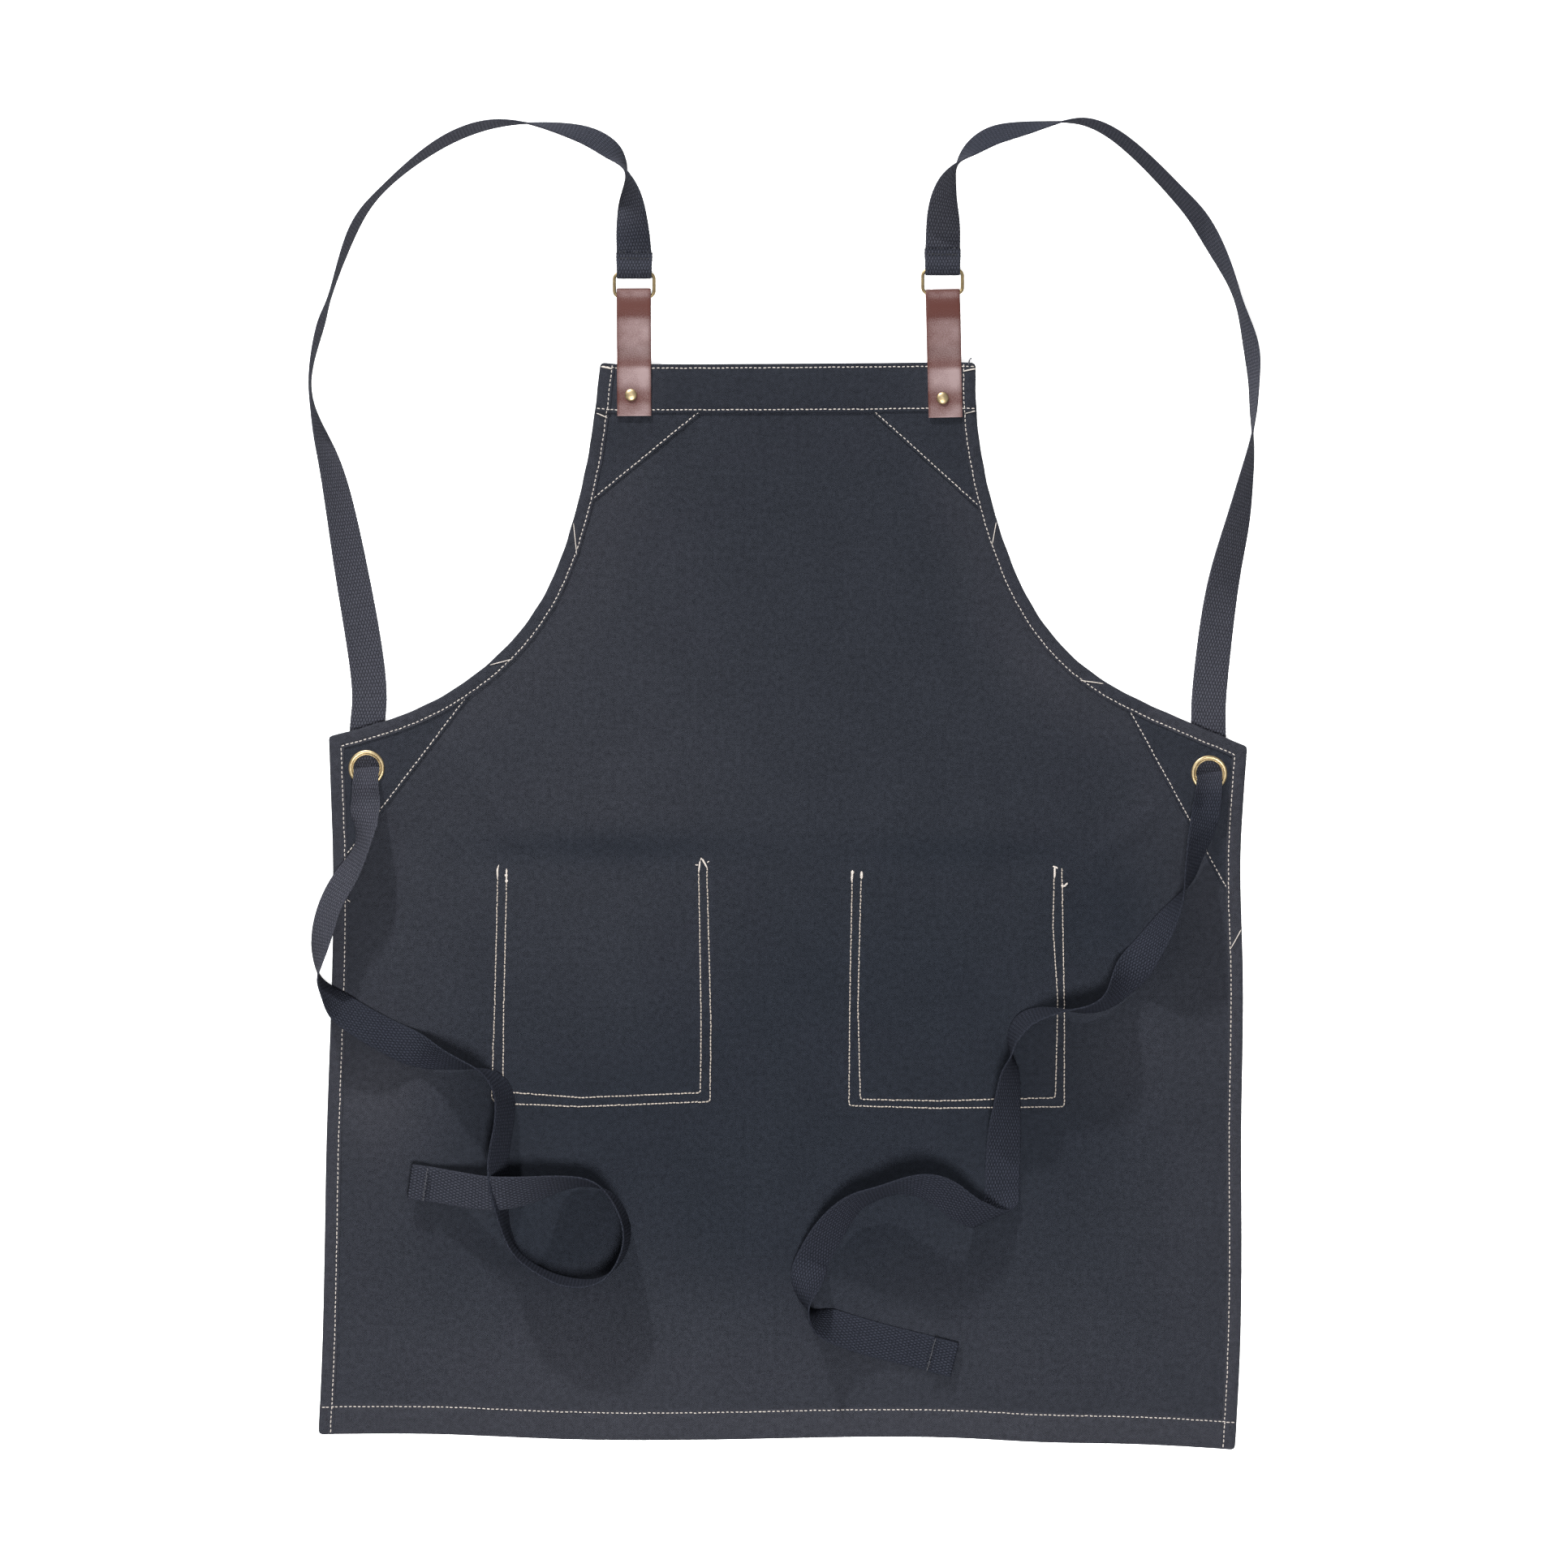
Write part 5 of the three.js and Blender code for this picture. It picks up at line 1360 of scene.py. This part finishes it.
# One run of stitches on a line: each is a small capsule, as thick as the root of 1 - 0.88 t^4 and
# dipping into the cloth at both ends by 0.3 t^6. The line's points are (x, y, height of the cloth).
def stitchRun(line, pitch, dash, seedOffset=0, below=False, width=None):
    rng = np.random.default_rng(seed + seedOffset)
    total = runLength(line)[-1]
    count = max(1, int(total / pitch))
    centre = (np.arange(count) + 0.5) * total / count + rng.normal(0.0, thread["spacing"], count)
    stations = 5 if below else 7
    around = 5 if below else 6
    t = np.linspace(-1.0, 1.0, stations)
    half = dash * pitch / 2 * (1.0 + rng.normal(0.0, thread["uneven"], count))
    at = np.clip(centre[:, None] + half[:, None] * t, 0.0, total)
    spot = along(line, at.ravel()).reshape(count, stations, 3)
    spot, ground = spot[..., :2], spot[..., 2]
    run = spot[:, -1] - spot[:, 0]
    run /= np.maximum(np.linalg.norm(run, axis=1, keepdims=True), 1e-6)
    aside = np.stack([-run[:, 1], run[:, 0]], axis=-1)
    drift = rng.normal(0.0, thread["drift"], count)[:, None]
    slew = rng.normal(0.0, thread["slew"], count)[:, None] * t
    spot += aside[:, None] * (drift + slew)[..., None]
    body = np.sqrt(1.0 - 0.88 * t**4)
    turn = np.linspace(0.0, 2 * math.pi, around, endpoint=False)
    sideways = (width or thread["width"]) / 2 * body[:, None] * np.cos(turn)
    up = thread["height"] / 2 * body[:, None] * np.sin(turn) - 0.3 * (t**6)[:, None]
    z = ground[..., None] + (-up - 0.05 if below else up + 0.14)[None]
    flat = spot[:, :, None] + aside[:, None, None] * sideways[None, :, :, None]
    points = np.concatenate([flat, z[..., None]], axis=-1).reshape(-1, 3)
    one = gridQuads(stations, around, closeColumns=True)
    last = (stations - 1) * around
    caps = np.array([[0, 3, 2, 1], [last, last + 1, last + 2, last + 3]])
    rest = np.array([[0, 5, 4, 3], [last, last + 3, last + 4, last + 5]])
    one = np.concatenate([one, caps, rest] if around == 6 else [one, caps])
    if not below:
        one = one[:, ::-1]
    quads = (one[None] + (np.arange(count) * stations * around)[:, None, None]).reshape(-1, 4)
    angle = np.broadcast_to(turn / (2 * math.pi), (count, stations, around))
    lengthwise = np.broadcast_to(at[..., None], (count, stations, around))
    return points, quads, np.stack([angle, lengthwise], axis=-1).reshape(-1, 2)


# One object from several runs of stitches
def addStitches(name, runs, material=threadMaterial):
    offsets = np.cumsum([0] + [len(points) for points, _, _ in runs[:-1]])
    points = np.vstack([run[0] for run in runs])
    quads = np.vstack([run[1] + offset for run, offset in zip(runs, offsets)])
    makeObject(name, points, quads, material, (), np.vstack([run[2] for run in runs]))


# A plan line with the heights of a surface function under it
def onSurface(line, height):
    return np.column_stack([line, height(line[:, 0], line[:, 1])])


pocketSeams = {
    "left": [
        [
            (-211.2, -60), (-213.6, -163.2), (-216, -231.6), (-213, -235.8), (-150.6, -238.2),
            (-54.6, -234.6), (-54, -177.6), (-57, -60),
        ],
        [
            (-204.6, -62.4), (-207, -163.2), (-207.6, -227.4), (-150.6, -231.6), (-61.8, -228),
            (-61.2, -177.6), (-63, -60),
        ],
    ],
    "right": [
        [
            (50.4, -64.8), (48.6, -163.2), (48, -237.6), (113.4, -239.4), (207, -238.2), (207, -163.2),
            (205.2, -61.2),
        ],
        [
            (57, -64.8), (54.6, -163.2), (56.4, -232.8), (113.4, -234), (200.4, -231.6), (202.2, -160.2),
            (198.6, -105), (199.8, -61.2),
        ],
    ],
}


# Seams on the hems are rows and columns of the panel's own grid
def hemSeams(surface):
    column = int(np.argmin(np.abs(bandSteps - cloth["sideSeam"])))
    bottomRow = int(np.argmin(np.abs(fromBottom - cloth["bottomSeam"])))
    topRows = [int(np.argmin(np.abs(fromTop - seam))) for seam in cloth["topSeams"]]
    lines = [surface[3:-3, column], surface[3:-3, -1 - column]]
    return lines + [surface[k, 3:-3] for k in [bottomRow] + topRows]


# Loose thread ends, cross threads over the hems and sewn-over knots at the pockets' corners, each a
# straight stroke (x, y, x, y, width)
looseEnds = [
    (-155.4, 192.6, -153.0, 169.2, 0.7), (-200.4, 92.4, -217.8, 87.6, 0.7),
    (157.2, 195.6, 153.6, 175.8, 0.7), (216.6, 76.8, 237.6, 73.8, 0.7),
    (338.4, -106.2, 329.4, -122.4, 0.7), (-135.0, 307.8, -126.6, 306.0, 1.2),
    (-139.2, 273.6, -130.2, 270.0, 0.8), (132.0, 304.2, 142.2, 306.6, 1.0),
    (132.6, 273.0, 142.2, 275.4, 0.8), (-322.8, -85.2, -320.4, -87.0, 0.7),
    (-211.5, -61.8, -211.5, -69.0, 1.5), (-210.6, -59.4, -211.2, -62.4, 0.6),
    (-204.9, -62.4, -204.9, -72.6, 1.2), (-204.9, -66.6, -204.9, -69.0, 2.4),
    (-204.6, -70.2, -204.9, -72.6, 2.2), (-63.0, -65.4, -61.8, -56.4, 1.3),
    (-61.8, -56.4, -60.6, -54.6, 1.2), (-60.6, -54.6, -56.4, -62.4, 1.4),
    (-65.7, -59.7, -63.0, -60.0, 0.8), (-57.0, -58.2, -55.2, -57.0, 0.8),
    (50.7, -63.6, 50.1, -72.0, 1.7), (50.7, -64.2, 50.8, -66.6, 2.5), (57.3, -64.2, 57.0, -70.2, 2.1),
    (198.3, -60.6, 202.2, -62.1, 1.5), (199.8, -61.2, 199.6, -69.6, 1.7),
    (204.9, -74.4, 206.7, -75.9, 2.0), (206.7, -75.9, 209.4, -72.9, 1.4),
]


# Dark thread ends at the bib's right corner, also as strokes
darkEnds = [(136.0, 308.6, 137.0, 313.6, 1.1), (137.0, 313.4, 138.6, 314.4, 1.0)]


# Strokes as single stitches on the panel, whose height is taken from the nearest point of its grid
def strokeRuns(strokes, seedOffset):
    grid = panelUpper.reshape(-1, 3)
    runs = []
    for i, (x0, y0, x1, y1, width) in enumerate(strokes):
        line = np.linspace((x0, y0), (x1, y1), 7)
        nearest = np.linalg.norm(line[:, None] - grid[None, :, :2], axis=2).argmin(axis=1)
        line = np.column_stack([line, grid[nearest, 2] + 0.12])
        runs.append(stitchRun(line, runLength(line)[-1], 1.0, seedOffset + i, False, width))
    return runs


# Seams beside the patches' slanted edges
def patchSeams():
    lines = []
    for side in sides.values():
        for key in ("bibPatch", "sidePatch"):
            start, end, outward = patchEdge(side, key)
            ends = np.array([start, end]) + outward * patch["seam"]
            lines.append(along(ends, np.linspace(4.0, np.linalg.norm(end - start) - 6.0, 40)))
    return lines


fray = {
    "count": 12,
    "length": 1.6,
    "width": 0.3,
    "ridgePitch": 2.6,
    "ridgeDash": 1.05,
    "ridgeWidth": 0.8,
    "ridgeRise": 0.55,
}


# Loose fibres at the strap's two cut ends, the one above the ring and the one of the folded tip, which
# also has a ridge of threads along its cut
def frayedEnds(label, side, offset):
    rng = np.random.default_rng(seed + offset)
    half = webbing["width"] / 2 - 0.4
    sewn, tip = ringFold(side)[:2], foldTip(label)[-2:][::-1]
    runs = []
    for near, back, ridge in (sewn + [False], tip + [True]):
        place, out = np.array(near[:2]), np.array(near[:2]) - np.array(back[:2])
        out /= np.linalg.norm(out)
        across = np.array([-out[1], out[0]])
        if ridge:
            edge = place + across * np.linspace(-half, half, 12)[:, None]
            line = np.column_stack([edge, np.full(12, near[3] + fray["ridgeRise"])])
            pitch, dash, width = fray["ridgePitch"], fray["ridgeDash"], fray["ridgeWidth"]
            runs.append(stitchRun(line, pitch, dash, offset + 50, False, width))
        for i in range(fray["count"]):
            foot = place - out + across * half * rng.uniform(-1.0, 1.0)
            reach = 1.0 + fray["length"] * rng.uniform(0.2, 1.0)
            head = foot + out * reach + across * rng.normal(0.0, 0.5)
            heights = near[3] + np.array([0.25, 0.45, 0.3]) + rng.uniform(0.0, 0.3)
            line = np.column_stack([np.linspace(foot, head, 3), heights])
            runs.append(stitchRun(line, runLength(line)[-1], 1.0, offset + i, False, fray["width"]))
    return runs


def makeStitches():
    pitch, dash = thread["hemPitch"], thread["dash"]
    ropePitch, ropeDash, ropeWidth = thread["ropePitch"], thread["ropeDash"], thread["ropeWidth"]
    diagonals = patchSeams()
    pocketLines = [softCorners(line) for seams in pocketSeams.values() for line in seams]
    patchTop = lambda x, y: clothTop(x, y) + patch["thick"] - thread["sink"]
    pocketUnder = lambda x, y: np.full_like(x, cloth["lift"] - thread["sink"])
    lines = hemSeams(panelUpper) + [onSurface(line, patchTop) for line in diagonals]
    runs = [stitchRun(line, pitch, dash, seeds["hem"] + i) for i, line in enumerate(lines)]
    addStitches("hemStitches", runs)
    addStitches("looseThreads", strokeRuns(looseEnds, seeds["loose"]))
    runs = []
    for i, line in enumerate(pocketLines):
        line = onSurface(line, clothTop)
        runs.append(stitchRun(line, ropePitch, ropeDash, seeds["pocket"] + i, False, ropeWidth))
    addStitches("pocketStitches", runs, ropeMaterial)
    sewn, frayed = [], []
    for i, (label, side) in enumerate(sides.items()):
        x, y = side["ring"][0], side["strapEnd"] - thread["endRow"]
        half = webbing["width"] / 2 - thread["endMargin"]
        top = webbing["runZ"] + 1.5 * webbing["thick"] + sewnEnd["gap"] + 0.8 * sewnEnd["rise"]
        line = np.array([(x - half, y, top), (x + half, y - 0.5, top)])
        sewn.append(stitchRun(line, thread["endPitch"], dash, seeds["end"] + i, False, thread["endWidth"]))
        frayed += frayedEnds(label, side, seeds["fray"] + 100 * i)
    addStitches("endStitches", sewn, darkMaterial)
    addStitches("frayedEnds", frayed + strokeRuns(darkEnds, seeds["dark"]), fibreMaterial)
    lines = hemSeams(panelLower) + [onSurface(line, underHeight) for line in diagonals]
    runs = [stitchRun(line, pitch, dash, seeds["under"] + i, True) for i, line in enumerate(lines)]
    for i, line in enumerate(pocketLines):
        line = onSurface(line, pocketUnder)
        runs.append(stitchRun(line, ropePitch, ropeDash, seeds["pocketUnder"] + i, True))
    addStitches("undersideStitches", runs)


makeStitches()
print("stitches made")


# Stage
stageLook = {
    "floor": 80.0,
    "floorDrop": 0.0002,
    "floorColour": (0.9, 0.9, 0.9, 1.0),
    "floorRough": 0.9,
    "floorGlow": 0.7,
    "sky": 0.36,
    "cameraHeight": 2.5,
    "photoPixels": 1932,
    "pixel": 0.6 * mm,
}
white = (1.0, 1.0, 1.0, 1.0)

# Lamps as (place, size, power), all aimed at the frame's origin
lamps = {
    "keySouth": ((0.05, -0.85, 1.75), 0.6, 66.0),
    "overhead": ((0.0, 0.66, 2.4), 0.5, 5.0),
    "rimNorthWest": ((-0.85, 2.3, 0.86), 0.13, 142.0),
}


def makeFloor():
    mesh = bpy.data.meshes.new("floor")
    half = stageLook["floor"] / 2
    corners = [(-half, -half, 0), (half, -half, 0), (half, half, 0), (-half, half, 0)]
    mesh.from_pydata(corners, [], [(0, 1, 2, 3)])
    paint = {"Roughness": stageLook["floorRough"], "Base_Color": stageLook["floorColour"]}
    glow = {"Emission_Color": white, "Emission_Strength": stageLook["floorGlow"]}
    material, _, _ = newMaterial("floorWhite", **paint, **glow)
    mesh.materials.append(material)
    floor = bpy.data.objects.new("floor", mesh)
    floor.location.z = -stageLook["floorDrop"]
    scene.collection.objects.link(floor)


def addLight(name, place, size, power):
    data = bpy.data.lights.new(name, "AREA")
    data.shape = "DISK"
    data.size = size
    data.energy = power
    light = bpy.data.objects.new(name, data)
    light.location = place
    direction = -np.array(place)
    pitch = math.atan2(math.hypot(direction[0], direction[1]), -direction[2])
    light.rotation_euler = (pitch, 0.0, math.atan2(direction[1], direction[0]) - math.pi / 2)
    scene.collection.objects.link(light)


makeFloor()
for name, values in lamps.items():
    addLight(name, *values)
world = bpy.data.worlds.new("studio")
scene.world = world
world.use_nodes = True
feedAll(world.node_tree, world.node_tree.nodes["Background"], Color=white, Strength=stageLook["sky"])
scene.view_settings.view_transform = "Standard"

cameraData = bpy.data.cameras.new("photoCamera")
photoWidth = stageLook["photoPixels"] * stageLook["pixel"]
cameraData.angle = 2 * math.atan(photoWidth / 2 / stageLook["cameraHeight"])
camera = bpy.data.objects.new("photoCamera", cameraData)
camera.location = (shift[0] * mm, shift[1] * mm, stageLook["cameraHeight"])
scene.collection.objects.link(camera)
scene.camera = camera
